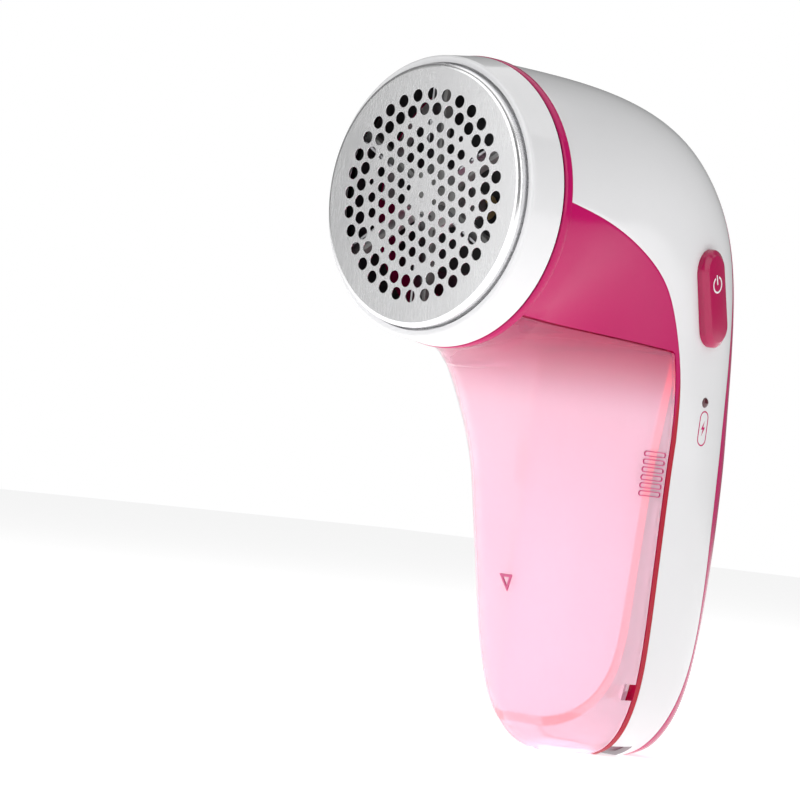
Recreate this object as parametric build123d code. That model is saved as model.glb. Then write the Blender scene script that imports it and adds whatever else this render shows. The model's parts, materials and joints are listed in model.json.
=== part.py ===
"""Cordless fabric shaver: round cutting head, curved neck, upright handle and a lint bin.

Everything is drawn in the head frame: X towards the switch side, Y back from the front edge
of the lock ring, Z up from the cutter axis. The last function moves each piece so that the
origin is on the base, under the middle of the whole shaver.
"""
import os
from math import atan2, cos, degrees, pi, radians, sin, sqrt

from build123d import *

# ---- Driving dimensions, mm -----------------------------------------------------------
HEAD_HEIGHT = 115.3      # cutter axis above the base
FOIL_R = 27.0            # flat face of the cutting foil, which sets the size of the head
SPLIT_Y = 63.8           # flat split between lint bin and handle body
BODY_DEPTH = 30.0        # handle body behind that split
GRIP_W = 38.0            # width of the handle where the hand holds it
WALL = 2.0               # housing shells
BIN_WALL = 1.6           # clear lint bin
GAP = 0.3                # between a moving piece and its neighbours
FIT = 0.2                # between fixed pieces that slide together
SEAM = 0.1               # between fixed shells that meet edge to edge
RUN = 0.03               # radial clearance of the shaft in its bearings
SINK = 0.3               # how far a boss, lug or saddle is sunk into what it grows from

# ---- Head -----------------------------------------------------------------------------
FOIL_T = 0.3
FOIL_RISE = 2.1          # foil face in front of the lock ring
FOIL_WALL_R = FOIL_R + 1.0
FOIL_FLANGE_R = FOIL_WALL_R + 0.9
HOLE_RINGS = [(5.6, 2.8, 0.0), (8.7, 2.8, 0.5)]      # distance from the edge, bore, turn in steps
RING_HOLES = 32
HOLE_PITCH = 3.36
HOLE_TURN = 40.0         # direction of the triangular pattern, degrees
HOLE_D = 2.25
SMALL_HOLE_D = 1.4
CENTRE_HOLE_D = 1.5
INNER_HOLES_R = 4.2
OUTER_SMALL_R = 15.4
RING_LIP_R = FOIL_WALL_R + 0.4
RING_BORE_R = FOIL_FLANGE_R + FIT
RING_FRONT_R = RING_BORE_R + 0.9
RING_REAR_R = RING_BORE_R + 1.9
RING_REAR_Y = 8.4
RING_LIP_T = 1.3
RING_ROUND = 0.7         # bevel of the ring's front edge
FLANGE_Y = RING_LIP_T + SEAM     # the foil's flange lies behind the ring's lip
RETAINER_R = FOIL_WALL_R - 0.6
RETAINER_T = 1.5
COLLAR_R = RING_REAR_R + 0.2
COLLAR_BEVEL = 0.4
COLLAR_SKIRT = 2.6       # how far the collar reaches into the housing
HEAD_R = COLLAR_R - 0.5  # housing radius where the head joins it
SPIGOT_R = RING_BORE_R - GAP
SPIGOT_FRONT_Y = 4.4
SPIGOT_WALL = 1.4
LUGS = 3
LUG_H = 0.7
LUG_Y = 5.6
LUG_T = 1.3
LUG_ANGLE = 12.0
TWIST = 20.0             # bayonet travel, degrees
TWIST_SPARE = 1.0        # free angle beyond each end of the travel, degrees

# ---- Outer form -----------------------------------------------------------------------
PIVOT_Y = 11.0           # rear plane of the head, where the housing starts
PIVOT_Z = -HEAD_R - 5.3  # the neck outlines fan out around this line
BACK_Y = SPLIT_Y + BODY_DEPTH
SECTION_POINTS = 24
# Neck outlines: angle of the fan, bulge beyond the plain curve, rise of the inner side,
# share of the head's extra width, roundness of the front half and of the back half.
NECK = [
    (0, 0.0, 0.0, 1.0, 2.0, 2.0),
    (15, 1.2, 0.0, 0.906, 2.05, 2.05),
    (30, 4.5, 0.0, 0.735, 2.1, 2.2),
    (45, 8.0, 0.2, 0.513, 2.2, 2.4),
    (60, 7.0, 0.6, 0.325, 2.2, 2.6),
    (75, 1.7, 1.3, 0.188, 2.2, 2.8),
]
# Handle outlines: level down from the fan line (0) to the base (1), reach of the bin ahead
# of the split, inset of the back, share of the grip width, the same two roundnesses.
HANDLE = [
    (0.0, 44.5, 0.4, 1.068, 2.2, 2.9),
    (0.177, 35.8, 0.0, 1.021, 2.4, 3.0),
    (0.366, 30.4, 0.3, 0.995, 2.7, 3.0),
    (0.555, 26.3, 1.4, 0.974, 2.9, 3.0),
    (0.706, 23.3, 2.9, 0.947, 3.0, 3.0),
    (0.807, 21.3, 4.0, 0.895, 2.9, 2.9),
    (0.883, 19.5, 5.4, 0.805, 2.8, 2.8),
    (0.94, 17.3, 7.0, 0.68, 2.6, 2.6),
    (0.977, 14.8, 9.2, 0.526, 2.5, 2.5),
    (1.0, 11.3, 13.3, 0.337, 2.4, 2.4),
]
LOWER = HEAD_HEIGHT + PIVOT_Z    # height of the upright part of the handle
BASE_Z = -HEAD_HEIGHT
WIDE = 50.0              # half width of every cutting prism

# ---- Splits between the shells --------------------------------------------------------
RIM = 1.5                # edge of the inner frame seen between bin and body
BODY_FRONT_Y = SPLIT_Y + RIM
# Arch over the neck: share of the way from head to handle, height.
ARCH = [(0.0, 1.0), (0.36, -2.4), (0.625, -7.0), (0.786, -12.6), (0.898, -21.3), (0.964, -30.5)]
ARCH_END_Z = -45.0
FLOOR_FRONT_Z = -23.0    # underside of the neck at the head
FLOOR_BACK_Z = -25.8     # underside of the neck at the handle
FLOOR_T = 1.6
# Seam of the back cover: distance ahead of the back, height.
COVER_SEAM = [(36.0, 34.0), (23.5, 19.0), (15.5, 6.0), (11.4, -8.0), (10.0, -25.0)]
COVER_STRAIGHT_Y = 9.8   # the straight stretch lies this far ahead of the back
COVER_TURN = 22.0        # height above the base where the seam turns forward again
COVER_BASE_Y = 19.0      # where the seam meets the base, ahead of the back

# ---- Cutter and drive -----------------------------------------------------------------
SHAFT_R = 1.0
SHAFT_FRONT_Y = 2.5
BLADES = 6
BLADE_T = 0.5
BLADE_H = 3.0
BLADE_R = FOIL_R - 1.2
BLADE_ROOT_R = 4.0
BLADE_CLEAR = 0.15       # foil to cutting edge
EDGE_Y = -FOIL_RISE + FOIL_T + BLADE_CLEAR
ARM_Y = EDGE_Y + BLADE_H
HOLDER_HUB_R = 7.0
HOLDER_HUB_H = 6.6
HUB_TAPER = 1.6
HUB_FLOOR = 0.6          # closed front of the hub
ARM_W = 2.2
ARM_H = 2.0
ARM_INSET = 0.4          # the arms end this far inside the blades' ends
COUPLER_R = 3.5
COUPLER_FLAT = 1.0       # depth of the driving flat
COUPLER_FLANGE_R = 5.4
COUPLER_FLANGE_T = 1.4
COUPLER_REAR_Y = 14.0
WASHER_T = 0.8
HOLDER_FIT = 0.05

# ---- Motor ----------------------------------------------------------------------------
MOTOR_Y = 20.0           # front face of the can
MOTOR_R = 12.2
MOTOR_L = 25.0
CAN_T = 0.8
CAP_T = 2.6
CAP_LIP = 1.5            # the end cap reaches this far into the can
BEARING_R = 2.6
BEARING_L = 2.8
BEARING_PROUD = 0.8      # front bush in front of the can
BEARING_HOUSING_T = 2.5
MAGNET_T = 1.6
MAGNET_L = 18.0
MAGNET_SPAN = 125.0
MAGNET_Y = MOTOR_Y + 3.5
AIR_GAP = 0.5
ARMATURE_R = MOTOR_R - CAN_T - MAGNET_T - AIR_GAP
ARMATURE_L = 15.0
ARMATURE_Y = MOTOR_Y + 5.0
POLES = 3
SLOT_W = 3.2
CORE_R = 4.2
WINDING_T = 2.2
WINDING_INSET = 1.6      # the coil heads end inside the core's edge
COMMUTATOR_R = 2.6
COMMUTATOR_L = 3.0
TERMINAL_X = 7.0
TERMINAL_L = 4.0
TERMINAL_W = 2.4
TERMINAL_T = 0.5
BULKHEAD_T = 1.6
RAMP_TOP_Z = -MOTOR_R - 1.4      # the ramp starts below the motor
RAMP_END_Y = 37.0
RAMP_FOOT = 3.0          # length of the ramp's foot on the neck floor
SCREW_R = 1.0
SCREW_HEAD_R = 1.9
SCREW_HEAD_T = 1.3
MOTOR_SCREW_X = 8.0      # the two motor screws stand this far from the axis
MOTOR_SCREW_GRIP = 0.6   # thread beyond the can's front
THROAT_W = 24.0          # opening in the neck floor, across
THROAT_Y = 13.2          # and where it starts
SADDLE_W = 16.0          # plastic saddle under the motor
SADDLE_L = 5.0
SADDLE_Y = RAMP_END_Y + 2.0
SADDLE_TOP_Z = -5.0

# ---- Lint bin -------------------------------------------------------------------------
BIN_BACK_Y = 55.0        # outside of the bin's back wall, where it stands upright
BIN_LEAN = 2.8           # the wall leans back by this much towards the bin's mouth
BIN_LEAN_Z = -60.0       # and starts to lean here
RIBS = 6
RIB_PITCH = 2.1
RIB_TOP_Z = -47.6
RIB_Y = 54.9
RIB_L = 6.0
RIB_W = 1.3
RIB_PROUD = 0.35
WINDOW_Y = SPLIT_Y - 4.2
WINDOW_TOP_Z = BASE_Z + 22.7
WINDOW_H = 5.6
ARROW_Z = BASE_Z + 37.7
ARROW_W = 3.6
ARROW_LINE = 0.5
RAIL_T = 1.4
RAIL_FRONT_Y = BIN_BACK_Y + BIN_LEAN + GAP + 0.1
RAIL_CHAMFER = 3.0
RAIL_TOP_Z = -34.0
RAIL_END_Z = BASE_Z + 14.3

# ---- Slide button ---------------------------------------------------------------------
BUTTON_Y = 69.9          # middle of the button, seen from the side
BUTTON_Z = -12.6
BUTTON_L = 22.0
BUTTON_W = 9.4
BUTTON_TILT = 19.5       # degrees, top towards the front
BUTTON_PROUD = 2.2
BUTTON_BEVEL = 1.1
POCKET_DEPTH = 1.2
TRAVEL = 3.5
STEM_W = 3.0
STEM_L = 6.0
STEM_END = 1.2           # stem beyond the pad
PAD_DEPTH = 3.4          # local thickness of the shell behind the button
PAD_MARGIN = 2.5
MARK_R = 2.2             # power mark
MARK_LINE = 0.6
MARK_UP = 5.0            # above the middle of the button
MARK_DEPTH = 0.25
SWITCH_H = 3.4
SWITCH_W = 5.0
SWITCH_L = 10.6
SWITCH_SLOT = 1.2        # depth of the slot the knob slides in
KNOB_L = 2.2
KNOB_W = 1.4
KNOB_IN = 1.2            # knob inside the stem
KNOB_OUT = 1.2           # and below it

# ---- Board, lamp, battery and inlet ---------------------------------------------------
BOARD_X = 10.6
BOARD_T = 1.6
BOARD_Y0 = BODY_FRONT_Y + GAP
BOARD_W = 16.4
BOARD_TOP_Z = -3.0
BOARD_BOTTOM_Z = -45.0
# Parts on the board: distance from its front edge and its top, width, height, thickness.
BOARD_PARTS = [
    (6.4, 5.0, 6.0, 6.0, 3.2),
    (10.4, 17.0, 5.0, 4.0, 1.4),
    (4.4, 26.0, 7.0, 5.0, 2.4),
    (12.4, 33.0, 4.0, 6.0, 1.6),
]
LAMP_Y = 73.8
LAMP_Z = -35.6
LAMP_R = 1.1
LENS_FIT = 0.05
LENS_L = 3.2
LENS_PROUD = 0.3         # lens in front of the shell at its middle
LED_R = 1.5
LED_BACK = 1.0           # between the lamp and the inside of the shell
CELL_R = 7.1
CELL_L = 49.0
CRADLE_T = 1.5
CELL_Y = BODY_FRONT_Y + CELL_R + CRADLE_T + 5.1
CELL_TOP_Z = BASE_Z + 63.3
CELL_CAP_R = 2.5
CELL_CAP_H = 1.0
TAB_T = 0.4
TAB_W = 5.0
TAB_L = 10.0
INLET_W = 21.0
INLET_D = 6.8
INLET_TOP = 10.8         # above the base
INLET_LIFT = 1.0
INLET_ROUND = 1.5
SOCKET_W = 9.0
SOCKET_D = 4.8
SOCKET_DEPTH = 7.0
PIN_R = 0.7
PIN_L = 4.4
PIN_X = 2.4
POST_R = 2.4
POST_X = GRIP_W / 2 - 7.2
POST_HEIGHTS = [BASE_Z + 63.3, BASE_Z + 23.3]
HOUSING_SCREW_L = 8.0
SCREW_SINK = 0.6
SCREW_SEAT_Y = SPLIT_Y + SCREW_SINK      # the heads sink into the frame's wall to here
SCREW_HOLE = 0.15        # radial clearance of the screws in the frame


# ---- Outer form -----------------------------------------------------------------------
def outline(origin, back, front_end, back_end, half_w, n_front, n_back):
    """One closed rounded outline across the housing, in the plane of X and `back`."""
    middle = (front_end + back_end) / 2
    half = (back_end - front_end) / 2
    points = []
    for i in range(SECTION_POINTS):
        turn = 2 * pi * i / SECTION_POINTS
        n = n_back if cos(turn) > 0 else n_front
        reach = (abs(cos(turn)) ** n + abs(sin(turn)) ** n) ** (-1 / n)
        across = Vector(half_w * reach * sin(turn), 0, 0)
        points.append(origin + across + back * (middle + half * reach * cos(turn)))
    return Wire([Edge.make_spline(points, periodic=True)])


def skin(inset=0.0):
    """The housing's outer form as one solid, or the same form set in by `inset`."""
    outlines = []
    pivot = Vector(0, PIVOT_Y, PIVOT_Z)
    for angle, bulge, rise, share, n_front, n_back in NECK:
        a = radians(angle)
        near = -PIVOT_Z - HEAD_R + rise + inset
        far = (HEAD_R - PIVOT_Z) * cos(a) ** 2 + (BACK_Y - PIVOT_Y) * sin(a) ** 2 + bulge - inset
        half_w = GRIP_W / 2 + (HEAD_R - GRIP_W / 2) * share - inset
        outlines.append(outline(pivot, Vector(0, sin(a), cos(a)), near, far, half_w, n_front, n_back))
    for level, reach, back_inset, share, n_front, n_back in HANDLE:
        z = PIVOT_Z - level * LOWER + inset * level ** 4
        near = SPLIT_Y - reach + inset
        far = BACK_Y - back_inset - inset
        half_w = GRIP_W / 2 * share - inset
        outlines.append(outline(Vector(0, 0, z), Vector(0, 1, 0), near, far, half_w, n_front, n_back))
    return Solid.make_loft(outlines)


def side_prism(*edges):
    """A cutting prism right across the shaver from a closed outline seen from the side."""
    return extrude(Face(Wire(list(edges))), amount=WIDE, dir=(1, 0, 0), both=True)


def side_polygon(*points):
    """The same from corner points (y, z)."""
    wire = Wire.make_polygon([(0, y, z) for y, z in points], close=True)
    return extrude(Face(wire), amount=WIDE, dir=(1, 0, 0), both=True)


def side_line(*points):
    """Straight edges through the points (y, z)."""
    return list(Wire.make_polygon([(0, y, z) for y, z in points], close=False).edges())


def above_arch():
    """Everything behind and above the front edge of the body shell."""
    arch = [(0, PIVOT_Y + share * (BODY_FRONT_Y - PIVOT_Y), z) for share, z in ARCH]
    arch.append((0, BODY_FRONT_Y, ARCH_END_Z))
    curve = Edge.make_spline(arch, tangents=[(0, 1, -0.07), (0, 0.16, -1)])
    rest = side_line(
        (BODY_FRONT_Y, ARCH_END_Z),
        (BODY_FRONT_Y, BASE_Z - WALL),
        (BACK_Y + WIDE, BASE_Z - WALL),
        (BACK_Y + WIDE, WIDE),
        (PIVOT_Y, WIDE),
        (PIVOT_Y, ARCH[0][1]),
    )
    return side_prism(curve, *rest)


def behind_cover_seam(shift=0.0):
    """Everything behind the seam of the back cover, or behind a seam moved back by `shift`."""
    seam = [(0, BACK_Y - ahead + shift, z) for ahead, z in COVER_SEAM]
    turn_z = BASE_Z + COVER_TURN
    seam.append((0, BACK_Y - COVER_STRAIGHT_Y + shift, (COVER_SEAM[-1][1] + turn_z) / 2))
    seam.append((0, BACK_Y - COVER_STRAIGHT_Y + shift - 1.0, turn_z))
    seam.append((0, BACK_Y - COVER_BASE_Y + shift, BASE_Z - 1.0))
    curve = Edge.make_spline(seam)
    rest = side_line(
        (seam[-1][1], seam[-1][2]),
        (BACK_Y + WIDE, BASE_Z - 1.0),
        (BACK_Y + WIDE, seam[0][2]),
        (seam[0][1], seam[0][2]),
    )
    return side_prism(curve, *rest)


def floor_z(y):
    """Height of the neck's underside at a distance `y` behind the lock ring's front."""
    return FLOOR_FRONT_Z + (FLOOR_BACK_Z - FLOOR_FRONT_Z) * (y - PIVOT_Y) / (SPLIT_Y - PIVOT_Y)


def turned(profile):
    """A solid of revolution about the cutter axis from (y, radius) corners."""
    wire = Wire.make_polygon([(radius, y, 0) for y, radius in profile], close=True)
    return revolve(Face(wire), axis=Axis.Y)


def bar(y0, y1, radius, x=0.0, z=0.0):
    """A round bar along Y."""
    return Pos(x, y0, z) * Rot(-90, 0, 0) * extrude(Circle(radius), amount=y1 - y0)


def block(x0, x1, y0, y1, z0, z1):
    """A box between two corners."""
    return Pos((x0 + x1) / 2, (y0 + y1) / 2, (z0 + z1) / 2) * Box(x1 - x0, y1 - y0, z1 - z0)


OUTER = skin()
INNER = skin(WALL)
FREE = skin(WALL + FIT)      # room for what is fitted inside the housing


def surface_x(y, z):
    """Distance of the housing's side face from the middle plane."""
    inside = Edge.make_line((0, y, z), (WIDE, y, z)).intersect(OUTER)
    return max(vertex.X for edge in inside for vertex in edge.vertices())


# ---- Housing --------------------------------------------------------------------------
def button_plane():
    """Plane of the slide button: its X runs along the travel, its Z straight out."""
    up = (-sin(radians(BUTTON_TILT)), cos(radians(BUTTON_TILT)))
    reach = BUTTON_L / 2
    middle = Vector(surface_x(BUTTON_Y, BUTTON_Z), BUTTON_Y, BUTTON_Z)
    top = Vector(surface_x(BUTTON_Y + up[0] * reach, BUTTON_Z + up[1] * reach), *(
        BUTTON_Y + up[0] * reach, BUTTON_Z + up[1] * reach))
    low = Vector(surface_x(BUTTON_Y - up[0] * reach, BUTTON_Z - up[1] * reach), *(
        BUTTON_Y - up[0] * reach, BUTTON_Z - up[1] * reach))
    side = BUTTON_W / 2
    rear = Vector(surface_x(BUTTON_Y + side, BUTTON_Z), BUTTON_Y + side, BUTTON_Z)
    front = Vector(surface_x(BUTTON_Y - side, BUTTON_Z), BUTTON_Y - side, BUTTON_Z)
    along = (top - low).normalized()
    out = (rear - front).cross(along).normalized()
    return Plane(origin=middle, x_dir=along, z_dir=out)


def pocket(plane):
    """Recess of the button: as long as the button and its travel."""
    shape = SlotOverall(BUTTON_L + TRAVEL + 2 * GAP, BUTTON_W + 2 * GAP)
    room = extrude(Pos(TRAVEL / 2, 0, -POCKET_DEPTH) * shape, amount=POCKET_DEPTH + 5)
    slot = SlotOverall(STEM_L + TRAVEL + 2 * GAP, STEM_W + 2 * GAP)
    through = extrude(Pos(TRAVEL / 2, 0, -PAD_DEPTH - 3) * slot, amount=PAD_DEPTH + 3)
    return [plane * room, plane * through]


def make_main_shell(plane):
    pad = extrude(Pos(TRAVEL / 2, 0, -PAD_DEPTH) * SlotOverall(
        BUTTON_L + TRAVEL + 2 * PAD_MARGIN, BUTTON_W + 2 * PAD_MARGIN), amount=2 * PAD_DEPTH)
    shell = (OUTER - (INNER - plane * pad)) & above_arch()
    shell = shell - behind_cover_seam(-SEAM)
    for room in pocket(plane):
        shell = shell - room
    lens_x = surface_x(LAMP_Y, LAMP_Z)
    shell = shell - Pos(lens_x, LAMP_Y, LAMP_Z) * Rot(0, 90, 0) * Cylinder(LAMP_R + LENS_FIT, 4 * WALL)
    notch = block(-INLET_W / 2 - FIT, INLET_W / 2 + FIT, BODY_FRONT_Y - 1,
                  BODY_FRONT_Y + INLET_D + FIT, BASE_Z - 1, BASE_Z + INLET_TOP + 1)
    return shell - notch


def make_back_cover():
    cover = (OUTER - INNER) & behind_cover_seam()
    for z in POST_HEIGHTS:
        for x in (-POST_X, POST_X):
            post = bar(BODY_FRONT_Y + SEAM, BACK_Y, POST_R, x, z)
            cover = cover + (post & FREE) + (post & skin(WALL / 2) & behind_cover_seam())
            cover = cover - bar(BODY_FRONT_Y, SCREW_SEAT_Y + HOUSING_SCREW_L, SCREW_R, x, z)
    return cover


def make_inner_frame():
    """Magenta inner moulding: neck sides, floor over the bin, and the wall behind the bin."""
    low = floor_z(SPLIT_Y)
    below = FLOOR_BACK_Z - 5     # under the whole floor
    form = OUTER - (above_arch() - FREE)
    moulding = form & side_polygon(
        (PIVOT_Y, floor_z(PIVOT_Y)),
        (SPLIT_Y, low),
        (SPLIT_Y, BASE_Z - 1),
        (BODY_FRONT_Y, BASE_Z - 1),
        (BODY_FRONT_Y, WIDE),
        (PIVOT_Y, WIDE),
    )
    room = INNER & side_polygon(
        (0, floor_z(0) + FLOOR_T),
        (BACK_Y, floor_z(BACK_Y) + FLOOR_T),
        (BACK_Y, WIDE),
        (0, WIDE),
    )
    throat = block(-THROAT_W / 2, THROAT_W / 2, THROAT_Y, RAMP_END_Y - RAMP_FOOT + FIT,
                   below, FLOOR_FRONT_Z + 5)
    saddle = block(-SADDLE_W / 2, SADDLE_W / 2, SADDLE_Y, SADDLE_Y + SADDLE_L,
                   floor_z(SADDLE_Y) - SINK / 3, SADDLE_TOP_Z)
    saddle = saddle - bar(SADDLE_Y - 1, SADDLE_Y + SADDLE_L + 1, MOTOR_R + SEAM)
    ahead = Pos(0, -RIM, 0) * above_arch() - above_arch()
    rim = (OUTER - INNER) & ahead & block(-WIDE, WIDE, PIVOT_Y, SPLIT_Y + SEAM, ARCH_END_Z, low + 1)
    frame = (moulding - room - throat) + saddle + rim
    for x in (-1, 1):
        frame = frame + rail(x)
        for z in POST_HEIGHTS:
            frame = frame - bar(SPLIT_Y - 1, BODY_FRONT_Y + 1, SCREW_R + SCREW_HOLE, x * POST_X, z)
            frame = frame - bar(RAIL_FRONT_Y, SCREW_SEAT_Y, SCREW_HEAD_R + FIT, x * POST_X, z)
    return frame


def rail(side):
    """One of two upright rails that the bin's skirts slide over."""
    area = side_polygon(
        (RAIL_FRONT_Y + RAIL_CHAMFER, RAIL_TOP_Z),
        (SPLIT_Y + RIM / 2, RAIL_TOP_Z),
        (SPLIT_Y + RIM / 2, RAIL_END_Z),
        (RAIL_FRONT_Y, RAIL_END_Z + RAIL_CHAMFER),
        (RAIL_FRONT_Y, RAIL_TOP_Z - RAIL_CHAMFER),
    )
    strip = area & (skin(BIN_WALL + GAP + SEAM) - skin(BIN_WALL + GAP + RAIL_T))
    half = block(0, side * WIDE, 0, BACK_Y, BASE_Z, 0) if side > 0 else block(-WIDE, 0, 0, BACK_Y, BASE_Z, 0)
    return strip & half


def make_housing_screws():
    """Four screws from behind the bin through the frame into the cover's posts."""
    screws = []
    for z in POST_HEIGHTS:
        for x in (-POST_X, POST_X):
            head = bar(SCREW_SEAT_Y - SCREW_SINK, SCREW_SEAT_Y, SCREW_HEAD_R, x, z)
            shank = bar(SCREW_SEAT_Y, SCREW_SEAT_Y + HOUSING_SCREW_L, SCREW_R, x, z)
            screws.append(head + shank)
    return screws


# ---- Head -----------------------------------------------------------------------------
def hole_places():
    """Centres and bores of the foil's holes: a triangular field inside two rings of holes."""
    places = [(0.0, 0.0, CENTRE_HOLE_D)]
    u = (cos(radians(HOLE_TURN)), sin(radians(HOLE_TURN)))
    v = (cos(radians(HOLE_TURN + 60)), sin(radians(HOLE_TURN + 60)))
    steps = range(-6, 7)
    for i in steps:
        for j in steps:
            x = HOLE_PITCH * (i * u[0] + j * v[0])
            z = HOLE_PITCH * (i * u[1] + j * v[1])
            rings = sqrt(i * i + i * j + j * j)
            distance = HOLE_PITCH * rings
            if rings == 0:
                continue
            if rings < 1.5:
                places.append((x * INNER_HOLES_R / distance, z * INNER_HOLES_R / distance, SMALL_HOLE_D))
            elif rings < 4.5:
                places.append((x, z, HOLE_D))
            elif rings < 4.7:
                places.append((x * OUTER_SMALL_R / distance, z * OUTER_SMALL_R / distance, SMALL_HOLE_D))
    for edge, bore, turn in HOLE_RINGS:
        radius = FOIL_R - edge
        for i in range(RING_HOLES):
            a = radians(90) + 2 * pi * (i + turn) / RING_HOLES
            places.append((radius * cos(a), radius * sin(a), bore))
    return places


def make_foil():
    """Stamped steel cutting foil: flat drilled face, drawn wall and a flange under the ring."""
    face = Circle(FOIL_R).face()
    holes = [Wire.make_circle(bore / 2, Plane(origin=(x, z, 0))) for x, z, bore in hole_places()]
    drilled = Face(face.outer_wire(), holes)
    plane = Plane(origin=(0, -FOIL_RISE + FOIL_T, 0), x_dir=(1, 0, 0), z_dir=(0, -1, 0))
    plate = extrude(plane * drilled, amount=FOIL_T)
    wall = turned([
        (-FOIL_RISE, FOIL_R),
        (-FOIL_RISE + FOIL_T, FOIL_R + FOIL_T),
        (FLANGE_Y, FOIL_WALL_R),
        (FLANGE_Y, FOIL_FLANGE_R),
        (FLANGE_Y + FOIL_T, FOIL_FLANGE_R),
        (FLANGE_Y + FOIL_T, FOIL_WALL_R - FOIL_T),
        (-FOIL_RISE + 2 * FOIL_T, FOIL_R),
        (-FOIL_RISE + FOIL_T, FOIL_R - FOIL_T),
    ])
    return plate + wall


def lug_band(r0, r1, y0, y1, start, span):
    """A piece of a tube about the cutter axis, `span` degrees long."""
    tube = turned([(y0, r0), (y1, r0), (y1, r1), (y0, r1)])
    corners = [(0, 0)]
    steps = 4
    for i in range(steps + 1):
        a = radians(start + span * i / steps)
        corners.append((2 * r1 * cos(a), 2 * r1 * sin(a)))
    wedge = extrude(Plane.XZ * make_face(Polyline(*corners, close=True)), amount=WIDE, both=True)
    return tube & wedge


def make_lock_ring():
    """White bayonet ring that holds the foil: a slightly flared rim with a rolled lip."""
    ring = turned([
        (RING_ROUND, RING_FRONT_R),
        (RING_REAR_Y, RING_REAR_R),
        (RING_REAR_Y, RING_BORE_R),
        (RING_LIP_T, RING_BORE_R),
        (RING_LIP_T, RING_LIP_R),
        (0.3, RING_LIP_R),
        (0.0, RING_LIP_R + 0.4),
        (0.0, RING_FRONT_R - RING_ROUND),
    ])
    groove_r = SPIGOT_R + LUG_H + FIT
    for k in range(LUGS):
        start = 90 + k * 360 / LUGS - LUG_ANGLE / 2
        ring = ring - lug_band(RING_BORE_R - SINK, groove_r, LUG_Y - FIT, LUG_Y + LUG_T + FIT,
                               start - TWIST - TWIST_SPARE, LUG_ANGLE + TWIST + 2 * TWIST_SPARE)
        ring = ring - lug_band(RING_BORE_R - SINK, groove_r, LUG_Y, RING_REAR_Y + 1,
                               start - TWIST - TWIST_SPARE, LUG_ANGLE + 2 * TWIST_SPARE)
    return ring


def make_foil_retainer():
    """Snap ring that keeps the foil's flange against the lock ring's lip."""
    y0 = FLANGE_Y + FOIL_T
    y1 = y0 + RETAINER_T
    return turned([(y0, RETAINER_R), (y0, RING_BORE_R), (y1, RING_BORE_R), (y1, RETAINER_R)])


def make_head_collar():
    """Magenta collar between head and housing, with the spigot and lugs the ring turns on."""
    bore = SPIGOT_R - SPIGOT_WALL
    front = RING_REAR_Y + GAP
    collar = turned([
        (SPIGOT_FRONT_Y, bore),
        (SPIGOT_FRONT_Y, SPIGOT_R),
        (front, SPIGOT_R),
        (front, COLLAR_R - COLLAR_BEVEL),
        (front + COLLAR_BEVEL, COLLAR_R),
        (PIVOT_Y - COLLAR_BEVEL, COLLAR_R),
        (PIVOT_Y, COLLAR_R - COLLAR_BEVEL),
        (PIVOT_Y, bore),
    ])
    for k in range(LUGS):
        start = 90 + k * 360 / LUGS - LUG_ANGLE / 2
        collar = collar + lug_band(SPIGOT_R - SINK, SPIGOT_R + LUG_H, LUG_Y, LUG_Y + LUG_T, start, LUG_ANGLE)
    skirt_r = HEAD_R - WALL - FIT
    y0, y1 = PIVOT_Y - COLLAR_BEVEL, PIVOT_Y + COLLAR_SKIRT
    skirt = turned([(y0, bore), (y0, skirt_r), (y1, skirt_r - GAP), (y1, bore)])
    above = block(-WIDE, WIDE, 0, WIDE, floor_z(PIVOT_Y) + FLOOR_T + SPIGOT_WALL, WIDE)
    return collar + (skirt & above)


# ---- Cutter and drive -----------------------------------------------------------------
def make_blades():
    """Radial steel blades, cutting edges just behind the foil."""
    blades = []
    for k in range(BLADES):
        blade = block(BLADE_ROOT_R, BLADE_R, EDGE_Y, ARM_Y, -BLADE_T / 2, BLADE_T / 2)
        blades.append(Rot(0, 360 / BLADES * (k + 0.5), 0) * blade)
    return blades


def make_blade_holder():
    """Moulded spider that carries the blades and slides on the coupler."""
    hub_rear = ARM_Y + HOLDER_HUB_H
    holder = turned([(ARM_Y, 0), (ARM_Y, HOLDER_HUB_R), (ARM_Y + ARM_H, HOLDER_HUB_R),
                     (hub_rear, HOLDER_HUB_R - HUB_TAPER), (hub_rear, 0)])
    for k in range(BLADES):
        arm = block(0, BLADE_R - ARM_INSET, ARM_Y, ARM_Y + ARM_H, -ARM_W / 2, ARM_W / 2)
        holder = holder + Rot(0, 360 / BLADES * (k + 0.5), 0) * arm
    socket = bar(ARM_Y + HUB_FLOOR, hub_rear + 1, COUPLER_R + HOLDER_FIT) - block(
        -WIDE, WIDE, 0, WIDE, COUPLER_R - COUPLER_FLAT + HOLDER_FIT, WIDE)
    return holder - socket


def make_drive_coupler():
    """Pressed onto the motor shaft; its flat turns the blade holder."""
    front = ARM_Y + HUB_FLOOR + GAP
    flange_y = ARM_Y + HOLDER_HUB_H + WASHER_T
    flat = block(-WIDE, WIDE, 0, flange_y, COUPLER_R - COUPLER_FLAT, WIDE)
    body = bar(front, COUPLER_REAR_Y, COUPLER_R) - flat
    body = body + bar(flange_y, flange_y + COUPLER_FLANGE_T, COUPLER_FLANGE_R)
    return body - bar(SHAFT_FRONT_Y, COUPLER_REAR_Y + 1, SHAFT_R)


def make_blade_spring():
    """Wave washer that pushes the blade holder towards the foil."""
    y0 = ARM_Y + HOLDER_HUB_H
    return bar(y0, y0 + WASHER_T, COUPLER_FLANGE_R - GAP) - bar(y0 - 1, y0 + 2, COUPLER_R + HOLDER_FIT)


def make_motor_shaft():
    """Steel shaft from the blade holder to the rear bearing."""
    return bar(SHAFT_FRONT_Y, MOTOR_Y + MOTOR_L + CAP_T - GAP, SHAFT_R)


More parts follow.
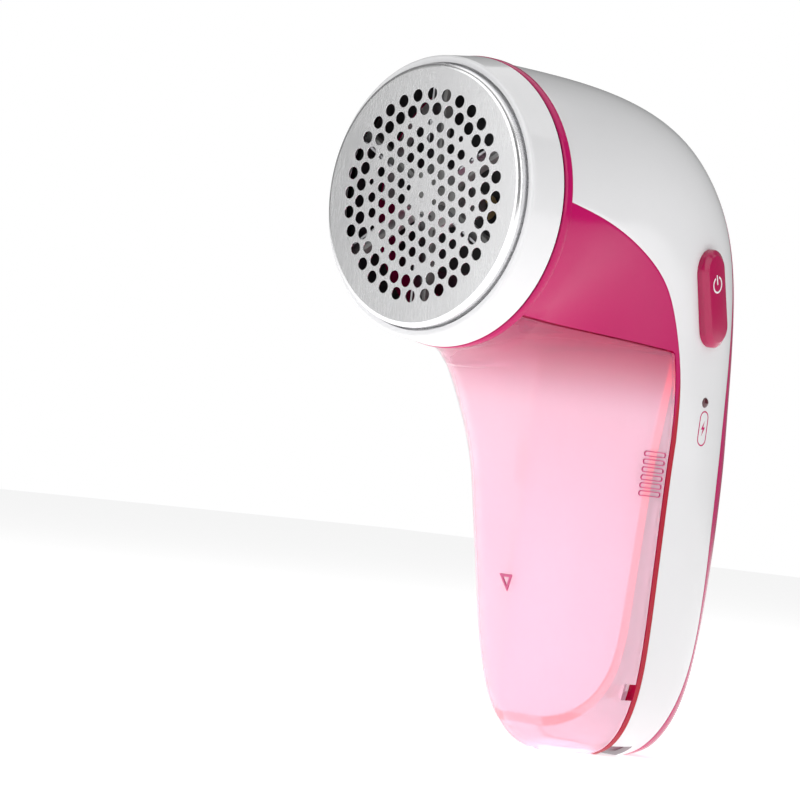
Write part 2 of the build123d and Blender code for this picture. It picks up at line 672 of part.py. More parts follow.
def make_motor_armature():
    """Laminated three-pole core on the shaft."""
    core = bar(ARMATURE_Y, ARMATURE_Y + ARMATURE_L, ARMATURE_R)
    for k in range(POLES):
        slot = block(CORE_R, WIDE, ARMATURE_Y - 1, ARMATURE_Y + ARMATURE_L + 1, -SLOT_W / 2, SLOT_W / 2)
        core = core - Rot(0, 360 / POLES * k, 0) * slot
    return core - bar(ARMATURE_Y - 1, ARMATURE_Y + ARMATURE_L + 1, SHAFT_R)


def make_motor_windings():
    """Copper coil heads at both ends of the core."""
    heads = []
    for y in (ARMATURE_Y - WINDING_T, ARMATURE_Y + ARMATURE_L):
        ring = bar(y, y + WINDING_T, ARMATURE_R - WINDING_INSET) - bar(y - 1, y + WINDING_T + 1, CORE_R - 1)
        heads.append(ring)
    return heads


def make_commutator():
    """Copper commutator inside the rear coil head."""
    y0 = ARMATURE_Y + ARMATURE_L + GAP
    return bar(y0, y0 + COMMUTATOR_L, COMMUTATOR_R) - bar(y0 - 1, y0 + COMMUTATOR_L + 1, SHAFT_R)


def make_motor_can():
    """Drawn steel can, open at the rear."""
    rear = MOTOR_Y + MOTOR_L
    can = bar(MOTOR_Y, rear, MOTOR_R) - bar(MOTOR_Y + CAN_T, rear + 1, MOTOR_R - CAN_T)
    can = can - bar(MOTOR_Y - 1, MOTOR_Y + CAN_T + 1, BEARING_R)
    for x in (-MOTOR_SCREW_X, MOTOR_SCREW_X):
        can = can - bar(MOTOR_Y - 1, MOTOR_Y + CAN_T + 1, SCREW_R, x)
    return can


def terminal(x, y0, y1):
    """One flat terminal between two depths."""
    return block(x - TERMINAL_W / 2, x + TERMINAL_W / 2, y0, y1, -TERMINAL_T / 2, TERMINAL_T / 2)


def make_motor_end_cap():
    """Black cap pressed into the can, with the rear bearing and the terminals."""
    rear = MOTOR_Y + MOTOR_L
    cap = bar(rear, rear + CAP_T, MOTOR_R) + bar(rear - CAP_LIP, rear, MOTOR_R - CAN_T - HOLDER_FIT)
    cap = cap - bar(rear - CAP_LIP - 1, rear + CAP_T + 1, BEARING_R)
    cap = cap - bar(rear - CAP_LIP - 1, rear - GAP, BEARING_R + BEARING_HOUSING_T)
    for x in (-TERMINAL_X, TERMINAL_X):
        cap = cap - terminal(x, rear - CAP_LIP - 1, rear + CAP_T + 1)
    return cap


def make_motor_bearings():
    """Two bronze bushes."""
    bushes = []
    for y in (MOTOR_Y - BEARING_PROUD, MOTOR_Y + MOTOR_L + CAP_T - BEARING_L + FIT):
        bush = bar(y, y + BEARING_L, BEARING_R) - bar(y - 1, y + BEARING_L + 1, SHAFT_R + RUN)
        bushes.append(bush)
    return bushes


def make_motor_magnets():
    """Two curved magnets inside the can."""
    outer = MOTOR_R - CAN_T
    magnets = []
    for start in (90 - MAGNET_SPAN / 2, 270 - MAGNET_SPAN / 2):
        magnets.append(lug_band(outer - MAGNET_T, outer, MAGNET_Y, MAGNET_Y + MAGNET_L, start, MAGNET_SPAN))
    return magnets


def make_motor_terminals():
    """Two solder tabs through the end cap."""
    rear = MOTOR_Y + MOTOR_L
    return [terminal(x, rear - TERMINAL_T, rear + CAP_T + TERMINAL_L) for x in (-TERMINAL_X, TERMINAL_X)]


def make_bulkhead():
    """Wall between cutter chamber and motor, with a ramp that turns the lint down into the bin."""
    front = MOTOR_Y - BULKHEAD_T
    foot_z = floor_z(RAMP_END_Y - RAMP_FOOT) + FLOOR_T + SEAM
    area = side_polygon(
        (front, WIDE),
        (front, RAMP_TOP_Z - BULKHEAD_T / 2),
        (RAMP_END_Y - RAMP_FOOT, foot_z),
        (RAMP_END_Y, foot_z),
        (MOTOR_Y, RAMP_TOP_Z),
        (MOTOR_Y, WIDE),
    )
    wall = area & FREE
    wall = wall - bar(front - 1, MOTOR_Y + 1, BEARING_R + FIT)
    for x in (-MOTOR_SCREW_X, MOTOR_SCREW_X):
        wall = wall - bar(front - 1, MOTOR_Y + 1, SCREW_R + SCREW_HOLE, x)
    return wall


def make_motor_screws():
    """Two screws from the cutter side through the bulkhead into the can."""
    front = MOTOR_Y - BULKHEAD_T
    screws = []
    for x in (-MOTOR_SCREW_X, MOTOR_SCREW_X):
        head = bar(front - SCREW_HEAD_T, front, SCREW_HEAD_R, x)
        screws.append(head + bar(front, MOTOR_Y + CAN_T + MOTOR_SCREW_GRIP, SCREW_R, x))
    return screws


# ---- Lint bin -------------------------------------------------------------------------
def back_wall_line(ahead=0.0):
    """Corners of the bin's back wall seen from the side, from the top down."""
    lean = BIN_LEAN / (BIN_LEAN_Z - FLOOR_BACK_Z)
    return [
        (BIN_BACK_Y - ahead + lean * (BIN_LEAN_Z - WIDE), WIDE),
        (BIN_BACK_Y - ahead, BIN_LEAN_Z),
        (BIN_BACK_Y - ahead, BASE_Z - 1),
    ]


def make_lint_bin():
    """Clear bin: cup, back wall, and skirts that close against the handle."""
    inner = skin(BIN_WALL)
    skirt_y = SPLIT_Y - GAP
    area = side_polygon(
        (PIVOT_Y + GAP, floor_z(PIVOT_Y) - GAP),
        (skirt_y, floor_z(skirt_y) - GAP),
        (skirt_y, BASE_Z - 1),
        (PIVOT_Y + GAP, BASE_Z - 1),
    )
    room = side_polygon((0, WIDE), *back_wall_line(BIN_WALL), (0, BASE_Z - 1))
    behind = side_polygon(*back_wall_line(), (BACK_Y, BASE_Z - 1), (BACK_Y, WIDE))
    area = area - Pos(0, -RIM - GAP, 0) * above_arch()
    cup = (OUTER & area) - (inner & room) - (inner & behind)
    cup = cup - block(-WIDE, WIDE, WINDOW_Y, BACK_Y, WINDOW_TOP_Z - WINDOW_H, WINDOW_TOP_Z)
    proud = (skin(-RIB_PROUD) & area) - inner
    for mark in grip_ribs() + [arrow()]:
        cup = cup + (mark & proud)
    return cup


def grip_ribs():
    """Prisms across the bin for its round-ended grip ribs."""
    ribs = []
    for i in range(RIBS):
        middle = (RIB_Y + RIB_L / 2, RIB_TOP_Z - i * RIB_PITCH)
        ribs.append(extrude(Plane.YZ * Pos(*middle) * SlotOverall(RIB_L, RIB_W), amount=WIDE, both=True))
    return ribs


def arrow():
    """Prism for the outlined arrow on the front that points the way the bin comes off."""
    outside = Pos(0, ARROW_Z - ARROW_W / 2) * Triangle(a=ARROW_W, b=ARROW_W, c=ARROW_W, rotation=180)
    shape = outside - offset(outside, -ARROW_LINE, kind=Kind.INTERSECTION)
    return extrude(Plane.XZ * shape, amount=-BIN_BACK_Y / 2)


# ---- Slide button and switch ----------------------------------------------------------
def make_power_slider(plane):
    """Magenta button with a flat top, a cut-in power mark and a stem through the shell."""
    side = SlotOverall(BUTTON_L, BUTTON_W)
    low = -POCKET_DEPTH + 0.1
    button = extrude(Pos(0, 0, low) * side, amount=BUTTON_PROUD - low)
    top = button.faces().sort_by(Axis.Z)[-1]
    button = chamfer(top.edges(), BUTTON_BEVEL)
    button = button - power_mark()
    length = PAD_DEPTH + STEM_END
    stem = extrude(Pos(0, 0, -length) * SlotOverall(STEM_L, STEM_W), amount=length)
    return plane * (button + stem - knob(FIT / 4))


def power_mark():
    """Open ring with a bar, cut into the top of the button."""
    ring = Circle(MARK_R) - Circle(MARK_R - MARK_LINE)
    ring = ring - Pos(MARK_R, 0) * Rectangle(MARK_R * 2, MARK_LINE * 3)
    stroke = Pos(MARK_R * 0.65, 0) * Rectangle(MARK_R * 1.1, MARK_LINE)
    mark = Pos(MARK_UP, 0, BUTTON_PROUD - MARK_DEPTH) * (ring + stroke)
    return extrude(mark, amount=1)


def knob(grow=0.0):
    """The switch's knob in the button's own plane, or the pocket for it in the stem."""
    low = -PAD_DEPTH - STEM_END - KNOB_OUT
    height = KNOB_OUT + KNOB_IN + grow
    return Pos(0, 0, low + height / 2) * Box(KNOB_L + 2 * grow, KNOB_W + 2 * grow, height)


def make_slide_switch(plane):
    """Slide switch on the board, turned so that its slot runs along the button's travel."""
    end = plane.origin - plane.z_dir * (PAD_DEPTH + STEM_END)
    case = block(0, SWITCH_H, -SWITCH_W / 2, SWITCH_W / 2, -SWITCH_L / 2, SWITCH_L / 2)
    slot_w = KNOB_W + 2 * GAP + FIT
    slot_l = KNOB_L + TRAVEL + 2 * GAP
    case = case - block(SWITCH_H - SWITCH_SLOT, SWITCH_H + 1, -slot_w / 2, slot_w / 2, -slot_l / 2, slot_l / 2)
    return Pos(BOARD_X + BOARD_T, end.Y, end.Z) * Rot(BUTTON_TILT, 0, 0) * Pos(0, 0, TRAVEL / 2) * case


def make_charge_led():
    """Lamp that stands on the board behind its lens."""
    foot = BOARD_X + BOARD_T
    length = surface_x(LAMP_Y, LAMP_Z) - WALL - LED_BACK - foot
    return Pos(foot + length / 2, LAMP_Y, LAMP_Z) * Rot(0, 90, 0) * Cylinder(LED_R, length)


def make_led_lens():
    """Dark red lens in the shell."""
    outside = surface_x(LAMP_Y, LAMP_Z) + LENS_PROUD
    return Pos(outside - LENS_L / 2, LAMP_Y, LAMP_Z) * Rot(0, 90, 0) * Cylinder(LAMP_R, LENS_L)


# ---- Board, battery and inlet ---------------------------------------------------------
def make_circuit_board():
    """Board on edge, beside the motor's rear and above the cell."""
    return block(BOARD_X, BOARD_X + BOARD_T, BOARD_Y0, BOARD_Y0 + BOARD_W, BOARD_BOTTOM_Z, BOARD_TOP_Z)


def make_board_parts():
    """Charging chip, supply parts and capacitors on the inner side."""
    parts = []
    for back, down, w, h, t in BOARD_PARTS:
        y, z = BOARD_Y0 + back, BOARD_TOP_Z - down
        parts.append(block(BOARD_X - t, BOARD_X, y - w / 2, y + w / 2, z - h / 2, z + h / 2))
    return parts


def cell_bar(radius, z0, z1):
    """A round bar on the cell's axis."""
    return Pos(0, CELL_Y, (z0 + z1) / 2) * Cylinder(radius, z1 - z0)


def make_battery_cell():
    """One rechargeable cell, its raised pole up."""
    shoulder = CELL_TOP_Z - CELL_CAP_H
    return cell_bar(CELL_R, CELL_TOP_Z - CELL_L, shoulder) + cell_bar(CELL_CAP_R, shoulder, CELL_TOP_Z)


def make_battery_tabs():
    """Welded contact strips on both poles."""
    tabs = []
    for z in (CELL_TOP_Z, CELL_TOP_Z - CELL_L - TAB_T):
        tabs.append(block(-TAB_W / 2, TAB_W / 2, CELL_Y - TAB_L / 2, CELL_Y + TAB_L / 2, z, z + TAB_T))
    return tabs


def make_battery_cradle():
    """Half shell that holds the cell from the front and at both ends."""
    top = CELL_TOP_Z + TAB_T + CRADLE_T + FIT
    bottom = CELL_TOP_Z - CELL_L - TAB_T - CRADLE_T - FIT
    side = CELL_R + FIT + CRADLE_T
    cradle = block(-side, side, BODY_FRONT_Y + SEAM, CELL_Y, bottom, top)
    return cradle - cell_bar(CELL_R + FIT, bottom + CRADLE_T, top - CRADLE_T)


def make_charging_inlet():
    """Dark block in the base with the socket for the charging lead."""
    y0 = BODY_FRONT_Y + SEAM
    y1 = BODY_FRONT_Y + INLET_D
    body = block(-INLET_W / 2, INLET_W / 2, y0, y1, BASE_Z + INLET_LIFT, BASE_Z + INLET_TOP)
    body = fillet(body.edges().filter_by(Axis.Y).group_by(Axis.Z)[-1], INLET_ROUND)
    middle = (y0 + y1) / 2
    socket = block(-SOCKET_W / 2, SOCKET_W / 2, middle - SOCKET_D / 2, middle + SOCKET_D / 2,
                   BASE_Z, BASE_Z + INLET_LIFT + SOCKET_DEPTH)
    return (body & skin(INLET_LIFT * 0.8)) - socket


def make_inlet_pins():
    """Two contact pins in the socket."""
    middle = BODY_FRONT_Y + (SEAM + INLET_D) / 2
    top = BASE_Z + INLET_LIFT + SOCKET_DEPTH
    return [Pos(x, middle, top - PIN_L / 2) * Cylinder(PIN_R, PIN_L) for x in (-PIN_X, PIN_X)]


# ---- Export ---------------------------------------------------------------------------
def save(name, shape):
    """Write one node, moved so that the origin is on the base below the middle."""
    middle_y = (BACK_Y - FOIL_RISE) / 2
    solids = shape if isinstance(shape, list) else [shape]
    bodies = []
    for solid in solids:
        for piece in solid.solids():
            bodies.append(Pos(0, -middle_y, HEAD_HEIGHT) * piece)
    node = bodies[0] if len(bodies) == 1 else Compound(children=bodies)
    export_step(node, os.path.join("parts", name + ".step"))


os.makedirs("parts", exist_ok=True)
BUTTON = button_plane()
NODES = {
    "main_shell": make_main_shell(BUTTON),
    "back_cover": make_back_cover(),
    "inner_frame": make_inner_frame(),
    "housing_screws": make_housing_screws(),
    "head_collar": make_head_collar(),
    "lock_ring": make_lock_ring(),
    "cutting_foil": make_foil(),
    "foil_retainer": make_foil_retainer(),
    "blades": make_blades(),
    "blade_holder": make_blade_holder(),
    "drive_coupler": make_drive_coupler(),
    "blade_spring": make_blade_spring(),
    "motor_shaft": make_motor_shaft(),
    "motor_armature": make_motor_armature(),
    "motor_windings": make_motor_windings(),
    "motor_commutator": make_commutator(),
    "motor_can": make_motor_can(),
    "motor_end_cap": make_motor_end_cap(),
    "motor_bearings": make_motor_bearings(),
    "motor_magnets": make_motor_magnets(),
    "motor_terminals": make_motor_terminals(),
    "motor_screws": make_motor_screws(),
    "bulkhead": make_bulkhead(),
    "lint_bin": make_lint_bin(),
    "power_slider": make_power_slider(BUTTON),
    "switch_knob": BUTTON * knob(),
    "slide_switch": make_slide_switch(BUTTON),
    "charge_led": make_charge_led(),
    "led_lens": make_led_lens(),
    "circuit_board": make_circuit_board(),
    "board_parts": make_board_parts(),
    "battery_cell": make_battery_cell(),
    "battery_tabs": make_battery_tabs(),
    "battery_cradle": make_battery_cradle(),
    "charging_inlet": make_charging_inlet(),
    "inlet_pins": make_inlet_pins(),
}
for name, shape in NODES.items():
    save(name, shape)
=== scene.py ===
import json

import bpy
import numpy as np
from mathutils import Matrix, Vector


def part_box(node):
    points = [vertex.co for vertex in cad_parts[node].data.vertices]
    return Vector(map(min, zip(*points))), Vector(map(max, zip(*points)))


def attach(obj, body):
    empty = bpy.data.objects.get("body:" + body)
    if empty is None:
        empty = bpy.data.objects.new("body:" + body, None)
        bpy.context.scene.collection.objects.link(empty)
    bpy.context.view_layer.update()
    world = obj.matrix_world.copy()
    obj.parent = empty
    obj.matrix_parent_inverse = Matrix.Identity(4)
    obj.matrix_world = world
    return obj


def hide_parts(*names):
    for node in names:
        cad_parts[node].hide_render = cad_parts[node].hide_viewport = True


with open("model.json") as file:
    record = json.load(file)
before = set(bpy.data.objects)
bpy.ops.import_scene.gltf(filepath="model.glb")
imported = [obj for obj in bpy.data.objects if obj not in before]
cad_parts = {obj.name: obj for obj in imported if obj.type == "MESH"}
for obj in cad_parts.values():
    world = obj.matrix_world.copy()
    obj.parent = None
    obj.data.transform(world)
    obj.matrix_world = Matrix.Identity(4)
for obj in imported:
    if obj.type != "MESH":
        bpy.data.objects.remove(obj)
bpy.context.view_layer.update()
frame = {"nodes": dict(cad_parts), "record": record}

# ---- Body shell ------------------------------------------------------------------------
# One white ABS moulding: the top of the neck, both sides of the neck and of the handle.
# High-gloss mould, 2 mm wall, open in front for the neck moulding and behind for the cover.

mm = 0.001
ring_low, ring_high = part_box("lock_ring")
AXIS_Z = (ring_low.z + ring_high.z) / 2      # height of the cutter axis
LIP_Y = ring_low.y                           # front edge of the lock ring
HEAD_HEIGHT = AXIS_Z / mm
EASED = 0.22                                 # width of the eased edges of the moulded shells
HEAD_R = 30.7
SPLIT_Y = 63.8
BODY_DEPTH = 30.0
BACK_Y = SPLIT_Y + BODY_DEPTH
GRIP_W = 38.0
WALL = 2.0
RIM = 1.5
SEAM = 0.12
PIVOT_Y = 11.0
PIVOT_Z = -HEAD_R - 5.3
BASE_Z = -HEAD_HEIGHT
# The neck's outlines: fan angle, bulge, rise of the inner side, width share, roundness.
NECK = [
    (0, 0.0, 0.0, 1.0, 2.0, 2.0),
    (15, 1.2, 0.0, 0.906, 2.05, 2.05),
    (30, 4.5, 0.0, 0.735, 2.1, 2.2),
    (45, 8.0, 0.2, 0.513, 2.2, 2.4),
    (60, 7.0, 0.6, 0.325, 2.2, 2.6),
    (75, 1.7, 1.3, 0.188, 2.2, 2.8),
]
# The handle's outlines: level, reach ahead of the split, inset of the back, width share.
HANDLE = [
    (0.0, 44.5, 0.4, 1.068, 2.2, 2.9),
    (0.177, 35.8, 0.0, 1.021, 2.4, 3.0),
    (0.366, 30.4, 0.3, 0.995, 2.7, 3.0),
    (0.555, 26.3, 1.4, 0.974, 2.9, 3.0),
    (0.706, 23.3, 2.9, 0.947, 3.0, 3.0),
    (0.807, 21.3, 4.0, 0.895, 2.9, 2.9),
    (0.883, 19.5, 5.4, 0.805, 2.8, 2.8),
    (0.94, 17.3, 7.0, 0.68, 2.6, 2.6),
    (0.977, 14.8, 9.2, 0.526, 2.5, 2.5),
    (1.0, 11.3, 13.3, 0.337, 2.4, 2.4),
]
ARCH = [(0.0, 1.0), (0.36, -2.4), (0.625, -7.0), (0.786, -12.6), (0.898, -21.3), (0.964, -30.5)]
ARCH_END_Z = -45.0
COVER_SEAM = [(36.0, 34.0), (23.5, 19.0), (15.5, 6.0), (11.4, -8.0), (10.0, -25.0), (9.8, -59.0)]
FLOOR_FRONT_Z = -23.0
FLOOR_BACK_Z = -25.8


def outline_rows():
    """Every outline as origin height, direction, middle, half length, half width, roundness."""
    rows = []
    for angle, bulge, rise, share, n_front, n_back in NECK:
        c, s = np.cos(np.radians(angle)), np.sin(np.radians(angle))
        near = -PIVOT_Z - HEAD_R + rise
        far = (HEAD_R - PIVOT_Z) * c ** 2 + (BACK_Y - PIVOT_Y) * s ** 2 + bulge
        half_w = GRIP_W / 2 + (HEAD_R - GRIP_W / 2) * share
        rows.append((PIVOT_Z, s, c, (near + far) / 2, (far - near) / 2, half_w, n_front, n_back))
    for level, reach, back_inset, share, n_front, n_back in HANDLE:
        z = PIVOT_Z - level * (HEAD_HEIGHT + PIVOT_Z)
        near, far = SPLIT_Y - reach - PIVOT_Y, BACK_Y - back_inset - PIVOT_Y
        half_w = GRIP_W / 2 * share
        rows.append((z, 1.0, 0.0, (near + far) / 2, (far - near) / 2, half_w, n_front, n_back))
    return np.array(rows)


ROWS = outline_rows()


def on_rows(turn, inset=0.0):
    """Points of every outline at the angles `turn`: 0 is the back, pi the front."""
    t = turn[..., None]
    n = np.where(np.cos(t) > 0, ROWS[:, 7], ROWS[:, 6])
    reach = (np.abs(np.cos(t)) ** n + np.abs(np.sin(t)) ** n) ** (-1 / n)
    along = ROWS[:, 3] + (ROWS[:, 4] - inset) * reach * np.cos(t)
    x = (ROWS[:, 5] - inset) * reach * np.sin(t)
    return np.stack([x, PIVOT_Y + ROWS[:, 1] * along, ROWS[:, 0] + ROWS[:, 2] * along], -1)


def spline_weights(knots, places):
    """Share of each knot's value in a natural cubic spline, at each place."""
    n = len(knots)
    h = np.diff(knots)
    left, right = np.eye(n), np.zeros((n, n))
    for i in range(1, n - 1):
        left[i, i - 1:i + 2] = h[i - 1], 2 * (h[i - 1] + h[i]), h[i]
        right[i, i - 1:i + 2] = 6 / h[i - 1], -6 / h[i - 1] - 6 / h[i], 6 / h[i]
    bend = np.linalg.solve(left, right)
    k = np.clip(np.searchsorted(knots, places) - 1, 0, n - 2)
    a = (knots[k + 1] - places) / h[k]
    b = 1 - a
    weights = ((a ** 3 - a) * h[k] ** 2 / 6)[:, None] * bend[k]
    weights += ((b ** 3 - b) * h[k] ** 2 / 6)[:, None] * bend[k + 1]
    rows = np.arange(len(places))
    weights[rows, k] += a
    weights[rows, k + 1] += b
    return weights


around = np.linspace(0, np.pi, 13)[None]
KNOTS = np.concatenate([[0], np.cumsum(np.linalg.norm(
    np.diff(on_rows(around)[0], axis=1), axis=-1).mean(0))])


def form(places, turn, inset=0.0):
    """Points of the outer form: one row for each place down the form, in head-frame mm."""
    return np.einsum("vk,vtkc->vtc", spline_weights(KNOTS, places), on_rows(turn, inset))


def side_curve(points, beyond):
    """A smooth side-view line through (y, z) points, as y at a height z."""
    points = np.array(points, float)
    steps = np.concatenate([[0], np.cumsum(np.hypot(*np.diff(points, axis=0).T))])
    line = spline_weights(steps, np.linspace(0, steps[-1], 300)) @ points
    order = np.argsort(line[:, 1])
    return lambda z: np.interp(z, line[order, 1], line[order, 0], right=beyond)


BODY_FRONT_Y = SPLIT_Y + RIM
front_edge = side_curve(
    [(PIVOT_Y + share * (BODY_FRONT_Y - PIVOT_Y), z) for share, z in ARCH]
    + [(BODY_FRONT_Y, ARCH_END_Z)],
    -100.0)
cover_edge = side_curve(
    [(BACK_Y - ahead, z) for ahead, z in COVER_SEAM]
    + [(BACK_Y - 10.8, BASE_Z + 22), (BACK_Y - 19, BASE_Z - 1)],
    BACK_Y - 36)


def crossing(places, side, inset=0.0):
    """On each outline, the angle from the back at which `side(y, z)` turns negative."""
    turn = np.linspace(0, np.pi, 721)[None].repeat(len(places), 0)
    points = form(places, turn, inset)
    value = side(points[..., 1], points[..., 2])
    below = value < 0
    k = np.where(below.any(1), below.argmax(1), turn.shape[1] - 1)
    rows = np.arange(len(places))
    before = np.maximum(k - 1, 0)
    v0, v1 = value[rows, before], value[rows, k]
    share = np.where((v0 > 0) & (v1 < 0), v0 / np.where(v0 == v1, 1, v0 - v1), np.where(k == 0, 0, 1))
    return turn[rows, before] + (turn[rows, k] - turn[rows, before]) * share


def place(points):
    """Head-frame mm to the shared frame in metres."""
    return np.asarray(points) * mm + np.array([0, LIP_Y, AXIS_Z])


def mesh_piece(name, points, faces, smooth=True):
    mesh = bpy.data.meshes.new(name)
    mesh.from_pydata([tuple(p) for p in points], [], [tuple(f) for f in faces])
    mesh.validate()
    mesh.polygons.foreach_set("use_smooth", [smooth] * len(mesh.polygons))
    piece = bpy.data.objects.new(name, mesh)
    bpy.context.collection.objects.link(piece)
    return piece


def grid_faces(rows, columns, start=0):
    corners = [start + i * columns + j for i in range(rows - 1) for j in range(columns - 1)]
    return [(a, a + 1, a + columns + 1, a + columns) for a in corners]


def modifier(piece, kind, **settings):
    made = piece.modifiers.new(kind.title(), kind)
    for name, value in settings.items():
        setattr(made, name, value)
    return made


def apply_modifiers(piece):
    bpy.context.view_layer.update()
    graph = bpy.context.evaluated_depsgraph_get()
    mesh = bpy.data.meshes.new_from_object(piece.evaluated_get(graph))
    piece.modifiers.clear()
    piece.data = mesh


def half_shell(name, places, first, last, columns, thickness, inset=0.0, cap=True):
    """A shell between two angles on each outline, mirrored, thickened and with eased edges."""
    turn = first[:, None] + (last - first)[:, None] * np.linspace(0, 1, columns)[None]
    rows = form(places, turn, inset)
    if cap:
        flat = [rows[-1] * np.array([k, 1, 1]) for k in (0.75, 0.5, 0.25, 0.0)]
        rows = np.concatenate([rows, flat])
    rows[..., 0] = np.where(np.abs(rows[..., 0]) < 0.02, 0, rows[..., 0])
    piece = mesh_piece(name, place(rows.reshape(-1, 3)), grid_faces(len(rows), columns))
    modifier(piece, "MIRROR", use_clip=True, merge_threshold=2e-5)
    modifier(piece, "WELD", merge_threshold=1e-5)
    modifier(piece, "SOLIDIFY", thickness=thickness * mm, offset=-1, use_even_offset=True)
    modifier(piece, "BEVEL", width=EASED * mm, segments=2,
             limit_method="ANGLE", angle_limit=np.radians(50))
    apply_modifiers(piece)
    for vertex in piece.data.vertices:           # a corner offset under the base belongs above it
        vertex.co.z = abs(vertex.co.z)
    return piece


def carve(piece, *cutters):
    """Cuts the cutters out of `piece` and removes them."""
    for cutter in cutters:
        modifier(piece, "BOOLEAN", operation="DIFFERENCE", solver="EXACT", object=cutter)
        apply_modifiers(piece)
        bpy.data.objects.remove(cutter)


class Socket:
    """One output of a shader node; sums and products of sockets and numbers add Math nodes."""

    def __init__(self, finish, output):
        self.finish, self.output = finish, output

    def math(self, operation, a, b):
        return self.finish.node("ShaderNodeMath", {"operation": operation}, {0: a, 1: b})

    def __add__(self, other):
        return self.math("ADD", self, other)

    def __mul__(self, other):
        return self.math("MULTIPLY", self, other)

    __radd__ = __add__
    __rmul__ = __mul__


class Finish:
    """The node tree of one material."""

    def __init__(self, name):
        self.material = bpy.data.materials.new(name)
        self.material.use_nodes = True
        self.tree = self.material.node_tree
        self.tree.nodes.clear()

    def node(self, kind, settings=None, inputs=None, output=0):
        """One node: its settings and ramp stops first, then the values or links of its inputs."""
        made = self.tree.nodes.new(kind)
        for name, value in (settings or {}).items():
            if name == "stops":
                while len(made.color_ramp.elements) < len(value):
                    made.color_ramp.elements.new(0.5)
                for element, (at, colour) in zip(made.color_ramp.elements, value):
                    element.position, element.color = at, (*colour, 1)
            else:
                setattr(made, name, value)
        for name, value in (inputs or {}).items():
            if isinstance(value, Socket):
                self.tree.links.new(value.output, made.inputs[name])
            else:
                made.inputs[name].default_value = value
        return Socket(self, made.outputs[output]) if made.outputs else None

    def noise(self, scale, detail=3.0, roughness=0.5):
        return self.node("ShaderNodeTexNoise", {}, {
            "Vector": self.node("ShaderNodeTexCoord", output="Object"),
            "Scale": scale, "Detail": detail, "Roughness": roughness})

    def blend(self, share, a, b):
        """Colour `a` where share is 0, `b` where it is 1."""
        tones = [tone if isinstance(tone, Socket) else (*tone, 1) for tone in (a, b)]
        return self.node("ShaderNodeMix", {"data_type": "RGBA"}, {
            0: share, 6: tones[0], 7: tones[1]}, output=2)

    def bump(self, height, distance, strength=1.0):
        return self.node("ShaderNodeBump", {}, {
            "Height": height, "Distance": distance, "Strength": strength})

    def principled(self, **inputs):
        return self.node("ShaderNodeBsdfPrincipled", {}, {
            name.replace("_", " "): value for name, value in inputs.items()})

    def show(self, shader, **volume):
        self.node("ShaderNodeOutputMaterial", {}, {"Surface": shader, **volume})
        return self.material


def gloss_plastic(name, colour, deep, roughness=0.13, coat=0.3, shine=0.45):
    """Glossy moulded plastic: a faint cloudy tint, soft orange peel and uneven polish."""
    finish = Finish(name)
    cloud = finish.noise(60, 4)
    peel = finish.noise(900, 2)
    fine = finish.noise(4000, 2)
    return finish.show(finish.principled(
        Base_Color=finish.blend(cloud, colour, deep),
        Roughness=cloud * 0.06 + (roughness - 0.03),
        Normal=finish.bump(peel + fine * 0.3, 0.000012, 0.3),
        Specular_IOR_Level=shine,
        Coat_Weight=coat,
        Coat_Roughness=0.04,
    ))


def dress(piece, material, body, slot, *replaced):
    """Gives a piece its material, the body it rides on and the CAD nodes it stands for; `slot` is not
    used.
    """
    piece.data.materials.clear()
    piece.data.materials.append(material)
    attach(piece, body)
    if replaced:
        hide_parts(*replaced)


def stadium(length, width, inset=0.0, steps=16):
    """A round-ended outline about the origin, its long side along u."""
    r = width / 2 - inset
    u = length / 2 - width / 2
    ends = np.linspace(-np.pi / 2, np.pi / 2, steps)
    arc = np.stack([u + r * np.cos(ends), r * np.sin(ends)], 1)
    return np.concatenate([arc, -arc])


def lofted(name, loops, smooth=True):
    """A closed solid through equal loops of points, flat at both ends."""
    n = len(loops[0])
    faces = [tuple(reversed(range(n))), tuple(range((len(loops) - 1) * n, len(loops) * n))]
    for k in range(len(loops) - 1):
        for i in range(n):
            j = (i + 1) % n
            faces.append((k * n + i, k * n + j, (k + 1) * n + j, (k + 1) * n + i))
    return mesh_piece(name, np.concatenate(loops), faces, smooth)


# The button's place on the shell: middle of its top face, outward and upward directions.
BUTTON_TOP = np.array([22.96, 70.4, -12.93])
OUT = np.array([0.98343, 0.18018, -0.02021])
slide = next(j for j in frame["record"]["behaviour"]["joints"] if j["name"] == "power_slide")
UP = np.array(slide["axis"]) / np.linalg.norm(slide["axis"])
BUTTON_L, BUTTON_W, BUTTON_H = 22.0, 9.4, 2.2
TRAVEL = 3.5
POCKET_DEPTH = 1.2
GAP = 0.3


def on_button(points, height, shift=0.0):
    """Points (u up the button, v across) at a height over the shell under the button."""
    side = np.cross(UP, OUT)
    flat = np.asarray(points)
    rows = BUTTON_TOP + (flat[:, :1] + shift) * UP + flat[:, 1:] * side + (height - BUTTON_H) * OUT
    return place(rows)


def box_cutter(low, high):
    """A block between two corners in head-frame mm."""
    (x0, y0, z0), (x1, y1, z1) = low, high
    loop = np.array([(x0, y0), (x1, y0), (x1, y1), (x0, y1)])
    return lofted("cutter", [place(np.column_stack([loop, np.full(4, z)])) for z in (z0, z1)], False)


